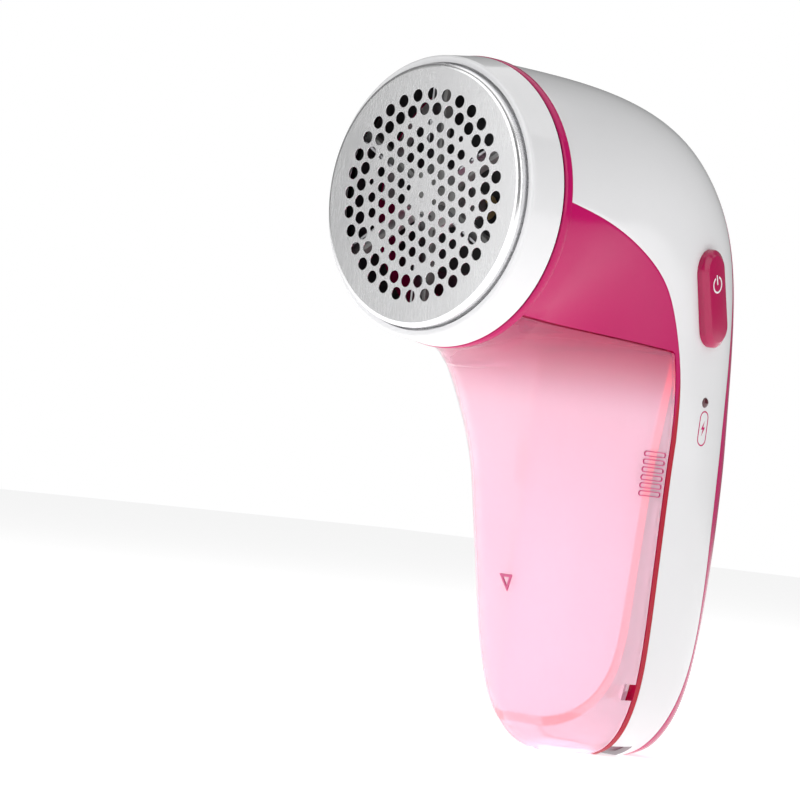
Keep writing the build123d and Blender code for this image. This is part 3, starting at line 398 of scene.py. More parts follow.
white_plastic = gloss_plastic("white_plastic", (0.80, 0.80, 0.81), (0.77, 0.77, 0.78))
even = np.linspace(0, KNOTS[-1], 240)        # places of the mesh rows, from head to base
top_line = np.linspace(0, KNOTS[-1], 4000)
over_top = form(top_line, np.zeros((len(top_line), 1)))[:, 0]
COVER_START = top_line[(over_top[:, 1] > cover_edge(over_top[:, 2])).argmax()]
near_start = COVER_START + np.array([-0.6, -0.2, 0.0, 0.03, 0.12, 0.3, 0.6, 1.0])
shell_places = np.sort(np.concatenate([even, near_start]))
body_shell = half_shell(
    "body_shell", shell_places,
    crossing(shell_places, lambda y, z: y - cover_edge(z) + SEAM),
    crossing(shell_places, lambda y, z: y - front_edge(z)),
    56, WALL)
room = stadium(BUTTON_L + TRAVEL + 2 * GAP, BUTTON_W + 2 * GAP)
STEM_L, STEM_W = 6.0, 3.0
stem_slot = stadium(STEM_L + TRAVEL + 2 * GAP, STEM_W + 2 * GAP)
LAMP_Y, LAMP_Z, LAMP_BORE = 73.8, -35.6, 2.3
INLET_W, INLET_DEPTH, INLET_H = 21.4, 7.0, 11.8


def lamp_outline(x):
    """The lamp's round hole at a distance from the middle of the shaver."""
    bore = stadium(LAMP_BORE, LAMP_BORE - 0.001)
    return place(np.column_stack([np.full(len(bore), x), bore[:, 0] + LAMP_Y, bore[:, 1] + LAMP_Z]))


carve(
    body_shell,
    lofted("pocket", [on_button(room, h, TRAVEL / 2) for h in (-POCKET_DEPTH, 6)], False),
    lofted("stem_slot", [on_button(stem_slot, h, TRAVEL / 2) for h in (-6, 0)], False),
    lofted("lamp_hole", [lamp_outline(x) for x in (10, 30)], False),
    box_cutter(
        (-INLET_W / 2, BODY_FRONT_Y - 2, BASE_Z - 2),
        (INLET_W / 2, BODY_FRONT_Y + INLET_DEPTH, BASE_Z + INLET_H)))
body_shell.data.set_sharp_from_angle(angle=np.radians(40))
dress(body_shell, white_plastic, "housing", "white_shell", "main_shell")

# ---- Back cover ------------------------------------------------------------------------
# Magenta ABS plate down the whole back, screwed to the front moulding from behind the bin.
# The seam runs just round the corner of the handle, so a thin line of it shows from the side.

magenta_plastic = gloss_plastic("magenta_plastic", (0.53, 0.0, 0.12), (0.46, 0.0, 0.10), 0.14, 0.0, 0.3)
cover_places = np.sort(np.concatenate([
    COVER_START + np.array([0.0, 0.03, 0.12, 0.3, 0.6, 1.0]), even[even > COVER_START + 1.3]]))
back_cover = half_shell(
    "back_cover_plate", cover_places,
    np.zeros(len(cover_places)),
    crossing(cover_places, lambda y, z: y - cover_edge(z) - SEAM / 2),
    36, WALL)
dress(back_cover, magenta_plastic, "housing", "magenta_trim", "back_cover")

# ---- Neck moulding ---------------------------------------------------------------------
# Magenta ABS: the sides of the neck under the arch, the floor over the bin with its chute,
# and the thin rim that runs down between the white shell and the bin.

FLOOR_T = 1.6
THROAT_W, THROAT_Y, THROAT_END_Y = 24.0, 13.2, 34.2
SNUG = 0.05                                  # plates stop this far inside the walls they meet


def floor_z(y):
    """Height of the underside of the floor over the bin, which falls a little to the back."""
    return FLOOR_FRONT_Z + (FLOOR_BACK_Z - FLOOR_FRONT_Z) * (y - PIVOT_Y) / (SPLIT_Y - PIVOT_Y)


def edge_line(side, inset, low_y, high_y, high_z):
    """Rows (half width, y, z) along the form where `side(y, z)` passes zero."""
    turn = crossing(even, side, inset)
    line = form(even, turn[:, None], inset)[:, 0]
    near = np.abs(side(line[:, 1], line[:, 2])) < 0.05
    near &= (line[:, 1] > low_y) & (line[:, 1] < high_y) & (line[:, 2] < high_z)
    return line[near]


def plate(name, rows, thickness, hole_y=None):
    """A bent plate across the shaver from rows (half width, y, z), with an opening if asked."""
    points, faces = [], []
    for w, y, z in rows:
        inner = min(THROAT_W / 2, 0.8 * w)
        points += [(x, y, z) for x in (-w, -inner, -inner / 3, inner / 3, inner, w)]
    for i in range(len(rows) - 1):
        open_row = hole_y and hole_y[0] < (rows[i][1] + rows[i + 1][1]) / 2 < hole_y[1]
        for j in range(5):
            if not (open_row and 0 < j < 4):
                faces.append((i * 6 + j, i * 6 + j + 1, i * 6 + j + 7, i * 6 + j + 6))
    piece = mesh_piece(name, place(points), faces, False)
    modifier(piece, "SOLIDIFY", thickness=thickness * mm, offset=0, material_offset_rim=1)
    return piece


neck = half_shell(
    "neck_moulding", even,
    crossing(even, lambda y, z: y - front_edge(z) + SEAM / 2),
    crossing(even, lambda y, z: np.maximum(z - floor_z(y), y - front_edge(z) + RIM)),
    40, WALL)
crimson = Finish("magenta_rim")
depth = crimson.node("ShaderNodeSeparateXYZ", {}, {
    "Vector": crimson.node("ShaderNodeTexCoord", output="Object")}, output=1)
at_rim = crimson.node("ShaderNodeMapRange", {}, {
    "Value": depth, "From Min": (SPLIT_Y - 0.6) * mm + LIP_Y, "From Max": (SPLIT_Y + 0.2) * mm + LIP_Y})
rim_cloud = crimson.noise(60, 4)
rim_plastic = crimson.show(crimson.principled(
    Base_Color=crimson.blend(
        at_rim, crimson.blend(rim_cloud, (0.53, 0.0, 0.12), (0.46, 0.0, 0.10)), (0.42, 0.0, 0.02)),
    Roughness=rim_cloud * 0.06 + 0.12,
    Normal=crimson.bump(crimson.noise(900, 2), 0.000012, 0.3),
    Specular_IOR_Level=0.3,
))
dress(neck, rim_plastic, "housing", "magenta_trim", "inner_frame")

floor_rows = edge_line(
    lambda y, z: z - floor_z(y) - FLOOR_T / 2, WALL + SNUG, PIVOT_Y + 0.5, SPLIT_Y, 0)
neck_floor = plate("neck_floor", floor_rows, FLOOR_T, (THROAT_Y, THROAT_END_Y))
# Painted shade: the floor is a darker, matte copy of the magenta, for the shade under the neck over the
# bin.
dress(neck_floor, gloss_plastic("floor_plastic_painted_shade", (0.40, 0.0, 0.07), (0.34, 0.0, 0.06), 0.6, 0.0),
      "housing", "magenta_trim")

# ---- Bay wall behind the bin -----------------------------------------------------------
# Pale ABS wall of the front moulding, with two low rails beside the bin. Four screws, sunk in
# round recesses, go through it into the back cover.

BIN_WALL = 1.6
RAIL_TOP_Z, RAIL_END_Z = -34.0, BASE_Z + 14.3
RAIL_FRONT_Y, RAIL_T = 63.0, 1.4
SCREW_RECESS_R = 2.1
POST_X = GRIP_W / 2 - 7.2
POST_HEIGHTS = (BASE_Z + 63.3, BASE_Z + 23.3)
bay_plastic = gloss_plastic("bay_plastic", (0.80, 0.72, 0.77), (0.77, 0.68, 0.74), 0.2)
WALL_MIDDLE_Y = SPLIT_Y + RIM / 2
bay_rows = edge_line(lambda y, z: y - WALL_MIDDLE_Y, WALL + SNUG, 0, BACK_Y, FLOOR_BACK_Z - 0.1)
bay_wall = plate("bay_wall", bay_rows, RIM - 0.1)
dress(bay_wall, bay_plastic, "housing", "white_shell")


def spun(name, profile, steps=160, z0=0.0, x0=0.0):
    """A closed ring or disc turned about a fore-and-aft axis, from (y, radius) corners."""
    turn = np.linspace(0, 2 * np.pi, steps, endpoint=False)
    points = [(x0 + r * np.sin(a), y, z0 + r * np.cos(a)) for a in turn for y, r in profile]
    n = len(profile)
    faces = []
    for i in range(steps):
        j = (i + 1) % steps
        faces += [(i * n + k, i * n + (k + 1) % n, j * n + (k + 1) % n, j * n + k) for k in range(n)]
    piece = mesh_piece(name, place(points), faces)
    modifier(piece, "WELD", merge_threshold=1e-6)
    apply_modifiers(piece)
    piece.data.set_sharp_from_angle(angle=np.radians(35))
    return piece


recess = [(SPLIT_Y - 1, 0), (SPLIT_Y - 1, SCREW_RECESS_R),
          (BODY_FRONT_Y + 1, SCREW_RECESS_R), (BODY_FRONT_Y + 1, 0)]
carve(bay_wall, *[
    spun("screw_recess", recess, 24, z, x) for x in (-POST_X, POST_X) for z in POST_HEIGHTS])
side_z = form(even, np.full((len(even), 1), np.pi / 2))[:, 0, 2]
rail_places = even[(side_z < RAIL_TOP_Z) & (side_z > RAIL_END_Z)]
RAIL_INSET = BIN_WALL + GAP + 0.1
rails = half_shell(
    "bin_rails", rail_places,
    crossing(rail_places, lambda y, z: y - SPLIT_Y - 0.1, RAIL_INSET),
    crossing(rail_places, lambda y, z: y - RAIL_FRONT_Y, RAIL_INSET),
    8, RAIL_T, RAIL_INSET, False)
dress(rails, bay_plastic, "housing", "white_shell")

# ---- Lint bin --------------------------------------------------------------------------
# Clear pink polystyrene cup, 1.6 mm wall, with a back wall whose cut edge has a painted glow that
# shows through the side, and skirts that close against the rim. Grip loops and a small arrow are
# moulded on, coloured deeper pink as painted shade along their edges.

BIN_GAP = GAP + SNUG


def shade_below_neck(finish, low_z, high_z):
    """0 well below the neck, 1 at the top of the bin, where the magenta moulding shades it."""
    height = finish.node("ShaderNodeSeparateXYZ", {}, {
        "Vector": finish.node("ShaderNodeTexCoord", output="Object")}, output=2)
    return finish.node("ShaderNodeMapRange", {"interpolation_type": "SMOOTHSTEP"}, {
        "Value": height, "From Min": AXIS_Z + low_z * mm, "From Max": AXIS_Z + high_z * mm})


def clear_pink(name, tint, depth, milk):
    """Clear plastic, coloured by the thickness that light passes, that lets lamps through."""
    finish = Finish(name)
    cloud = finish.noise(40, 3)
    pale = finish.blend(cloud, (1.0, 0.86, 0.92), (1.0, 0.82, 0.90))
    # Painted shade: towards the top of the bin, under the neck, the colour darkens to crimson.
    glass = finish.principled(
        Base_Color=finish.blend(shade_below_neck(finish, -42, -20), pale, (0.66, 0.03, 0.18)),
        Roughness=cloud * 0.03 + 0.03,
        Transmission_Weight=1 - milk,
        IOR=1.35,
        Specular_IOR_Level=0.6,
        Normal=finish.bump(finish.noise(350, 2), 0.00001, 0.15),
    )
    lamp_ray = finish.node("ShaderNodeLightPath", output=1)
    shine = finish.node("ShaderNodeBsdfTransparent", {}, {"Color": (1.0, 0.93, 0.96, 1)})
    mixed = finish.node("ShaderNodeMixShader", {}, {0: lamp_ray, 1: glass, 2: shine})
    return finish.show(mixed, Volume=finish.node("ShaderNodeVolumeAbsorption", {}, {
        "Color": (*tint, 1), "Density": depth}))


pink = clear_pink("clear_pink", (1.0, 0.30, 0.60), 90, 0.35)
bin_shell = half_shell(
    "clear_bin", even,
    crossing(even, lambda y, z: np.maximum(z - floor_z(y) + BIN_GAP, y - front_edge(z) + RIM + BIN_GAP)),
    np.full(len(even), np.pi),
    72, BIN_WALL)
WINDOW_TOP_Z, WINDOW_H, WINDOW_Y = BASE_Z + 16.6, 3.6, SPLIT_Y - 3.8
WINDOW_END_Z = WINDOW_TOP_Z - WINDOW_H
carve(bin_shell, box_cutter((-GRIP_W, WINDOW_Y, WINDOW_END_Z), (GRIP_W, BACK_Y, WINDOW_TOP_Z)))
bin_shell.data.set_sharp_from_angle(angle=np.radians(40))
dress(bin_shell, pink, "bin", "pink_clear", "lint_bin")

# Magenta catches of the front moulding show through the two windows.
CATCH_IN_X, CATCH_OUT_X = 10.0, 13.2
for name, sign in (("catch_right", 1), ("catch_left", -1)):
    catch = box_cutter(
        (sign * CATCH_IN_X, WINDOW_Y + 0.5, WINDOW_END_Z + GAP),
        (sign * CATCH_OUT_X, SPLIT_Y + 0.4, WINDOW_TOP_Z - GAP))
    catch.name = name
    modifier(catch, "BEVEL", width=0.2 * mm, segments=2)
    dress(catch, magenta_plastic, "housing", "magenta_trim")

# Back wall and floor of the cup in one bent plate; its cut edge carries a painted glow: strong red with
# emission.
CUP_T = 2.3
CUP_END_Z = BASE_Z + 5.3
WALL_LINE = [
    (61.75, -24.0), (61.2, -30.0), (60.2, -41.0), (58.9, -60.0), (58.0, -84.0), (56.4, -97.0),
    (51.0, -106.0), (44.0, -110.4)]
wall_y = side_curve(WALL_LINE, 64.0)
cup_rows = edge_line(lambda y, z: y - wall_y(z), BIN_WALL + SNUG, 0, SPLIT_Y - 0.5, FLOOR_BACK_Z - 0.8)
cup_rows = cup_rows[cup_rows[:, 2] > CUP_END_Z]


def painted_edge_glow():
    """The cut edge of the cup's plate: strong red with emission, a painted glow for the light and tint
    gathered along the edge.
    """
    finish = Finish("pink_edge_painted_glow")
    cloud = finish.noise(200, 3)
    return finish.show(finish.principled(
        Base_Color=finish.blend(cloud, (0.95, 0.05, 0.10), (0.90, 0.04, 0.09)),
        Roughness=cloud * 0.1 + 0.2,
        Emission_Color=finish.blend(cloud, (1.0, 0.10, 0.14), (0.9, 0.08, 0.13)),
        Emission_Strength=0.55,
    ))


def milk_pink():
    """The milky face of the cup's plate, shaded under the neck."""
    finish = Finish("milk_pink")
    cloud = finish.noise(60, 3)
    return finish.show(finish.principled(
        Base_Color=finish.blend(
            shade_below_neck(finish, -40, -27),
            finish.blend(cloud, (0.97, 0.84, 0.91), (0.96, 0.80, 0.89)), (0.62, 0.04, 0.16)),
        Roughness=cloud * 0.1 + 0.12,
        Coat_Weight=0.2,
    ))


cup_wall = plate("bin_back_wall", cup_rows, CUP_T)
dress(cup_wall, milk_pink(), "bin", "pink_clear")
cup_wall.data.materials.append(painted_edge_glow())

RIBS, RIB_PITCH, RIB_TOP_Z, RIB_Y, RIB_L, RIB_W = 6, 1.73, -48.3, 55.4, 7.0, 1.2
RELIEF = 0.25                                # height of the loops and the arrow


def on_side(piece, sign=1):
    """Finds points (y, z, height) over the piece's side, by a ray from outside."""
    graph = bpy.context.evaluated_depsgraph_get()
    body = piece.evaluated_get(graph)

    def find(points, height):
        found = []
        for y, z in points:
            start = Vector(place((sign * 40.0, y, z)))
            _, at, normal, _ = body.ray_cast(start, Vector((-sign, 0, 0)))
            found.append(at + normal * height * mm)
        return np.array(found)
    return find


def relief(name, shapes, find, lift, sink=0.15):
    """Low relief on a surface: each shape is an outer loop and, if only a line, an inner loop."""
    points, faces = [], []
    for outer, inner in shapes:
        loops = [find(outer, -sink), find(outer, lift)]
        if inner is not None:
            loops += [find(inner, lift), find(inner, -sink)]
        n, start = len(outer), sum(len(p) for p in points)
        points += loops
        rounds = len(loops) if inner is not None else 1
        for k in range(rounds):
            a, b = start + k * n, start + (k + 1) % len(loops) * n
            faces += [(a + i, a + (i + 1) % n, b + (i + 1) % n, b + i) for i in range(n)]
        if inner is None:
            faces += [tuple(reversed(range(start, start + n))), tuple(range(start + n, start + 2 * n))]
    return mesh_piece(name, np.concatenate(points), faces, False)


def moved(loop, du, dv):
    """The outline shifted by (du, dv)."""
    return np.asarray(loop) + np.array([du, dv])


bpy.context.view_layer.update()
# Painted shade: the grip loops and the arrow are moulded in the clear pink, but coloured deeper pink to
# stand in for the shade along their edges.
relief_painted_shade_pink = gloss_plastic("relief_painted_shade_pink", (0.62, 0.10, 0.24), (0.55, 0.08, 0.20), 0.2)
LINE = 0.2
loops = [(moved(stadium(RIB_L, RIB_W), RIB_Y + RIB_L / 2, RIB_TOP_Z - k * RIB_PITCH),
          moved(stadium(RIB_L, RIB_W, LINE), RIB_Y + RIB_L / 2, RIB_TOP_Z - k * RIB_PITCH))
         for k in range(RIBS)]
for side, sign in (("right", 1), ("left", -1)):
    ribs = relief("grip_loops_" + side, loops, on_side(bin_shell, sign), RELIEF)
    dress(ribs, relief_painted_shade_pink, "bin", "pink_clear")


def on_front(points, height):
    """Points (x, z, height) over the bin's front, by a ray from ahead."""
    body = bin_shell.evaluated_get(bpy.context.evaluated_depsgraph_get())
    found = []
    for x, z in points:
        _, at, normal, _ = body.ray_cast(Vector(place((x, -20.0, z))), Vector((0, 1, 0)))
        found.append(at + normal * height * mm)
    return np.array(found)


def polygon(corners, inset, steps=8):
    """A straight-sided outline with points along its sides, moved inward by `inset`."""
    corners = np.array(corners, float)
    middle = corners.mean(0)
    shrink = 1 - 2 * inset / np.linalg.norm(corners - middle, axis=1)[:, None]
    corners = middle + (corners - middle) * shrink
    return np.concatenate([
        a + (b - a) * np.linspace(0, 1, steps, endpoint=False)[:, None]
        for a, b in zip(corners, np.roll(corners, -1, axis=0))])


ARROW_Z, ARROW_W, ARROW_LINE = BASE_Z + 37.7, 3.6, 0.5
tip = [(-ARROW_W / 2, ARROW_Z), (ARROW_W / 2, ARROW_Z), (0, ARROW_Z - ARROW_W)]
arrow = relief("bin_arrow", [(polygon(tip, 0), polygon(tip, ARROW_LINE))], on_front, RELIEF)
dress(arrow, relief_painted_shade_pink, "bin", "pink_clear")

# ---- Cutting foil ----------------------------------------------------------------------
# Pressed stainless foil, 0.3 mm: a flat face full of etched holes with a rounded edge, and a
# wall that drops into the lock ring. A triangular field of holes lies inside two rings.

FOIL_R, FOIL_T, FOIL_RISE = 27.0, 0.3, 2.1
FOIL_ROUND = 1.0
FOIL_WALL_R = FOIL_R + FOIL_ROUND
FLANGE_R, FLANGE_Y = FOIL_WALL_R + 0.7, 1.8
SHEET_EDGE = 0.04                            # eased edges of the sheet and its holes
HOLE_PITCH, HOLE_TURN, HOLE_D, SMALL_HOLE_D, CENTRE_HOLE_D = 3.36, 40.0, 2.25, 1.4, 1.5
INNER_HOLES_R, OUTER_SMALL_R = 4.2, 15.4
HOLE_RINGS = [(21.4, 2.8, 0.0), (18.3, 2.8, 0.5)]       # radius, bore, turn in steps
RING_HOLES = 32


def steel(name, colour, roughness):
    """Rolled steel with fine scratches along the strip and a faintly uneven polish."""
    finish = Finish(name)
    stretched = finish.node("ShaderNodeMapping", {}, {
        "Vector": finish.node("ShaderNodeTexCoord", output="Object"), "Scale": (12, 1, 0.6)})
    scratch = finish.node("ShaderNodeTexNoise", {}, {"Vector": stretched, "Scale": 700, "Detail": 5})
    cloud = finish.noise(90, 3)
    return finish.show(finish.principled(
        Base_Color=finish.blend(scratch * 0.5 + cloud * 0.5, colour, tuple(c * 0.85 for c in colour)),
        Metallic=1.0,
        Roughness=scratch * 0.12 + cloud * 0.06 + roughness,
        Normal=finish.bump(scratch, 0.000004, 0.25),
    ))


holes = [(0.0, 0.0, CENTRE_HOLE_D)]
for i in range(-6, 7):
    for j in range(-6, 7):
        a, b = np.radians(HOLE_TURN), np.radians(HOLE_TURN + 60)
        x, z = i * np.cos(a) + j * np.cos(b), i * np.sin(a) + j * np.sin(b)
        steps_out = np.sqrt(i * i + i * j + j * j)
        if 0 < steps_out < 1.5:
            holes.append((x * INNER_HOLES_R, z * INNER_HOLES_R, SMALL_HOLE_D))
        elif 1.5 < steps_out < 4.5:
            holes.append((x * HOLE_PITCH, z * HOLE_PITCH, HOLE_D))
        elif 4.5 < steps_out < 4.7:
            holes.append((x / steps_out * OUTER_SMALL_R, z / steps_out * OUTER_SMALL_R, SMALL_HOLE_D))
for radius, bore, turn in HOLE_RINGS:
    for i in range(RING_HOLES):
        a = np.pi / 2 + 2 * np.pi * (i + turn) / RING_HOLES
        holes.append((radius * np.cos(a), radius * np.sin(a), bore))

sheet = bpy.data.curves.new("foil_sheet", "CURVE")
sheet.dimensions, sheet.fill_mode = "2D", "BOTH"
sheet.extrude, sheet.bevel_depth = (FOIL_T / 2 - SHEET_EDGE) * mm, SHEET_EDGE * mm
for x, z, bore in [(0, 0, 2 * FOIL_R)] + holes:
    count = 160 if bore > FOIL_R else 28
    rim = sheet.splines.new("POLY")
    rim.points.add(count - 1)
    rim.use_cyclic_u = True
    for k, point in enumerate(rim.points):
        a = 2 * np.pi * k / count
        point.co = ((x + bore / 2 * np.cos(a)) * mm, (z + bore / 2 * np.sin(a)) * mm, 0, 1)
drawn = bpy.data.objects.new("foil_sheet", sheet)
bpy.context.collection.objects.link(drawn)
bpy.context.view_layer.update()
mesh = bpy.data.meshes.new_from_object(drawn.evaluated_get(bpy.context.evaluated_depsgraph_get()))
bpy.data.objects.remove(drawn)
to_front = Matrix.Translation(place((0, -FOIL_RISE + FOIL_T / 2, 0)))
mesh.transform(to_front @ Matrix.Rotation(np.pi / 2, 4, "X"))
foil_face = bpy.data.objects.new("foil_face", mesh)
bpy.context.collection.objects.link(foil_face)


def rounded(radius):
    """Corners of the foil's rounded edge, from the flat face to the wall."""
    return [(FOIL_ROUND - FOIL_RISE - radius * np.cos(a), FOIL_R + radius * np.sin(a))
            for a in np.linspace(0, np.pi / 2, 8)]


foil_wall = spun("foil_wall", rounded(FOIL_ROUND) + [
    (FLANGE_Y - 2 * FOIL_T, FOIL_WALL_R), (FLANGE_Y - FOIL_T, FLANGE_R), (FLANGE_Y, FLANGE_R),
    (FLANGE_Y, FOIL_WALL_R - FOIL_T)] + rounded(FOIL_ROUND - FOIL_T)[::-1])
foil_steel = steel("foil_steel_face", (0.97, 0.97, 0.98), 0.17)
dress(foil_face, foil_steel, "foil_head", "foil_steel", "cutting_foil")
dress(foil_wall, foil_steel, "foil_head", "foil_steel")

# ---- Lock ring and collar --------------------------------------------------------------
# White ABS ring that twists off to free the foil. It turns on a magenta collar, whose spigot
# has a near-black sleeve in its bore, partly a real part and partly painted shade for the dark seen
# through the foil's holes. The ring's lip holds the foil's flange.

RING_LIP_R, RING_BORE_R = FOIL_WALL_R + 0.4, 29.1
RING_FRONT_R, RING_REAR_R, RING_REAR_Y = 30.0, 31.0, 8.4
RING_INSIDE_R, LIP_T = RING_BORE_R + 0.02, 1.3
ROUND, SMALL_ROUND = 0.7, 0.25
ease = np.linspace(0, np.pi / 2, 7)
ring_edge = [(ROUND - ROUND * np.cos(a), RING_FRONT_R - ROUND + ROUND * np.sin(a)) for a in ease]
lip_edge = [(SMALL_ROUND - SMALL_ROUND * np.sin(a), RING_LIP_R + SMALL_ROUND - SMALL_ROUND * np.cos(a))
            for a in ease[:4]]
lock_ring = spun("lock_ring_shell", lip_edge + ring_edge + [
    (RING_REAR_Y - SMALL_ROUND, RING_REAR_R), (RING_REAR_Y, RING_REAR_R - SMALL_ROUND),
    (RING_REAR_Y, RING_INSIDE_R), (LIP_T, RING_INSIDE_R), (LIP_T, RING_LIP_R)], 200)
ring_plastic = gloss_plastic("ring_plastic", (0.82, 0.82, 0.83), (0.79, 0.79, 0.80), 0.14)
dress(lock_ring, ring_plastic, "foil_head", "white_shell", "lock_ring")

COLLAR_Y, COLLAR_BACK_Y, COLLAR_R, COLLAR_EDGE = 8.7, 11.0, 31.2, 0.4
SPIGOT_Y, SPIGOT_R, SPIGOT_BORE_R = 4.4, 28.8, 27.4
collar_edge = [(COLLAR_EDGE, 0), (0.1, 0.15), (0, COLLAR_EDGE)]       # along the axis, inward
collar = spun(
    "head_collar_rim",
    [(SPIGOT_Y, SPIGOT_R), (COLLAR_Y, SPIGOT_R)]
    + [(COLLAR_Y + along, COLLAR_R - inward) for along, inward in collar_edge[::-1]]
    + [(COLLAR_BACK_Y - along, COLLAR_R - inward) for along, inward in collar_edge]
    + [(COLLAR_BACK_Y, SPIGOT_BORE_R), (SPIGOT_Y, SPIGOT_BORE_R)], 200)
dress(collar, magenta_plastic, "housing", "magenta_trim")

SLEEVE_Y, SLEEVE_END_Y = SPIGOT_Y - 0.1, COLLAR_BACK_Y + 2
SLEEVE_R, SLEEVE_BORE_R = SPIGOT_BORE_R + 0.1, SPIGOT_BORE_R - 0.1
sleeve = spun("head_sleeve", [
    (SLEEVE_Y, SLEEVE_R), (SLEEVE_Y, SLEEVE_BORE_R),
    (SLEEVE_END_Y, SLEEVE_BORE_R), (SLEEVE_END_Y, SLEEVE_R)])
# The near-black sleeve is partly painted shade: it darkens what shows through the foil's holes.
sleeve_plastic_and_painted_shade = gloss_plastic("sleeve_plastic_and_painted_shade", (0.05, 0.05, 0.055), (0.03, 0.03, 0.03), 0.3)
dress(sleeve, sleeve_plastic_and_painted_shade, "housing", "dark_plastic")

# ---- Slide button ----------------------------------------------------------------------
# Magenta ABS slider in a shallow pocket, with a wide eased edge. The mark in its top is
# filled with white paint; a stem runs through the shell to the switch.

EDGE = 1.35
STEM_END = 4.2
button_foot = 0.1 - POCKET_DEPTH
button_plastic = gloss_plastic("button_plastic", (0.44, 0.0, 0.078), (0.40, 0.0, 0.068), 0.2, 0.15)
# Height and inset of each level: straight side, eased corner, wide slope, eased top.
levels = [(button_foot, 0.0), (BUTTON_H - 1.15, 0.0), (BUTTON_H - 1.0, 0.06)]
levels += [(BUTTON_H - 0.86 + 0.72 * s, 0.16 + (EDGE - 0.32) * s) for s in (0, 0.5, 1)]
levels += [(BUTTON_H - 0.05, EDGE - 0.08), (BUTTON_H, EDGE + 0.1)]
button = lofted("button_cap", [
    on_button(stadium(BUTTON_L, BUTTON_W, inset, 24), h) for h, inset in levels])
button.data.set_sharp_from_angle(angle=np.radians(60))
stem = lofted("button_stem", [on_button(stadium(STEM_L, STEM_W), h) for h in (-STEM_END, button_foot)])
stem.data.set_sharp_from_angle(angle=np.radians(60))
dress(button, button_plastic, "slider", "magenta_trim", "power_slider")
dress(stem, button_plastic, "slider", "magenta_trim")

MARK_UP, MARK_R, MARK_LINE, MARK_GAP = 3.3, 1.9, 0.4, 50
MARK_BAR = MARK_R * 1.15
mark_paint = gloss_plastic("mark_paint", (0.86, 0.84, 0.86), (0.82, 0.79, 0.82), 0.3)


def arc_band(radius, line, gap_degrees, steps=40):
    """A flat open ring about the mark's middle, its gap towards the top of the button."""
    sweep = np.radians(np.linspace(gap_degrees / 2, 360 - gap_degrees / 2, steps))
    ring = [np.column_stack([r * np.cos(sweep), r * np.sin(sweep)]) for r in (radius, radius - line)]
    return np.concatenate([ring[0], ring[1][::-1]]) + np.array([MARK_UP, 0])


bar = np.array([
    (MARK_UP, -MARK_LINE / 2), (MARK_UP + MARK_BAR, -MARK_LINE / 2),
    (MARK_UP + MARK_BAR, MARK_LINE / 2), (MARK_UP, MARK_LINE / 2)])
for name, outline in (("power_mark_ring", arc_band(MARK_R, MARK_LINE, MARK_GAP)), ("power_mark_bar", bar)):
    mark = lofted(name, [on_button(outline, h) for h in (BUTTON_H - 0.1, BUTTON_H + 0.02)], False)
    dress(mark, mark_paint, "slider", "magenta_trim")

# ---- Charging lamp and its pill --------------------------------------------------------
# A small domed dark red lens set in the side of the handle, and under it a printed magenta
# outline with a plain symbol.

LENS_R, LENS_DOME, LENS_DEPTH = 1.1, 0.45, 1.2
bpy.context.view_layer.update()
on_shell = on_side(body_shell)
lens_rings = [(LENS_R * np.cos(a), LENS_DOME * np.sin(a) - 0.05) for a in np.linspace(0, 1.35, 7)]
around_lens = np.linspace(0, 2 * np.pi, 32, endpoint=False)
beside = LENS_R + 0.6
seat = on_shell([(LAMP_Y, LAMP_Z + beside), (LAMP_Y, LAMP_Z - beside)], 0).mean(0)
lens = lofted("lamp_lens", [
    np.column_stack([
        np.full(len(around_lens), seat[0] + height * mm),
        LIP_Y + (LAMP_Y + radius * np.cos(around_lens)) * mm,
        AXIS_Z + (LAMP_Z + radius * np.sin(around_lens)) * mm])
    for radius, height in [(LENS_R - 0.02, -LENS_DEPTH)] + lens_rings])
lens.data.set_sharp_from_angle(angle=np.radians(60))
lamp_red = gloss_plastic("lamp_red_lens", (0.10, 0.004, 0.012), (0.06, 0.0, 0.01), 0.07, 1.0)
dress(lens, lamp_red, "housing", "lamp_red", "led_lens")

PILL_Y, PILL_TOP, PILL_END, PILL_W, PILL_LINE = 74.3, -37.4, -45.2, 3.4, 0.3
pill_middle = (PILL_TOP + PILL_END) / 2
print_ink = gloss_plastic("print_ink", (0.55, 0.0, 0.13), (0.50, 0.0, 0.11), 0.25, 0.0)
pill = [np.column_stack([loop[:, 1] + PILL_Y, loop[:, 0] + pill_middle]) for loop in (
    stadium(PILL_TOP - PILL_END, PILL_W), stadium(PILL_TOP - PILL_END, PILL_W, PILL_LINE))]
bolt = moved([(0.35, 1.7), (-0.75, -0.25), (-0.05, -0.25), (-0.35, -1.7), (0.75, 0.3), (0.05, 0.3)],
             PILL_Y, pill_middle)
for name, shape in (("lamp_pill", (pill[0], pill[1])), ("lamp_bolt", (bolt, None))):
    dress(relief(name, [shape], on_shell, 0.03, 0.02), print_ink, "housing", "magenta_trim")

# ---- Steel and small parts kept as designed --------------------------------------------
# Blades, motor, cell, board and switch keep their CAD meshes; each slot gets one finish.

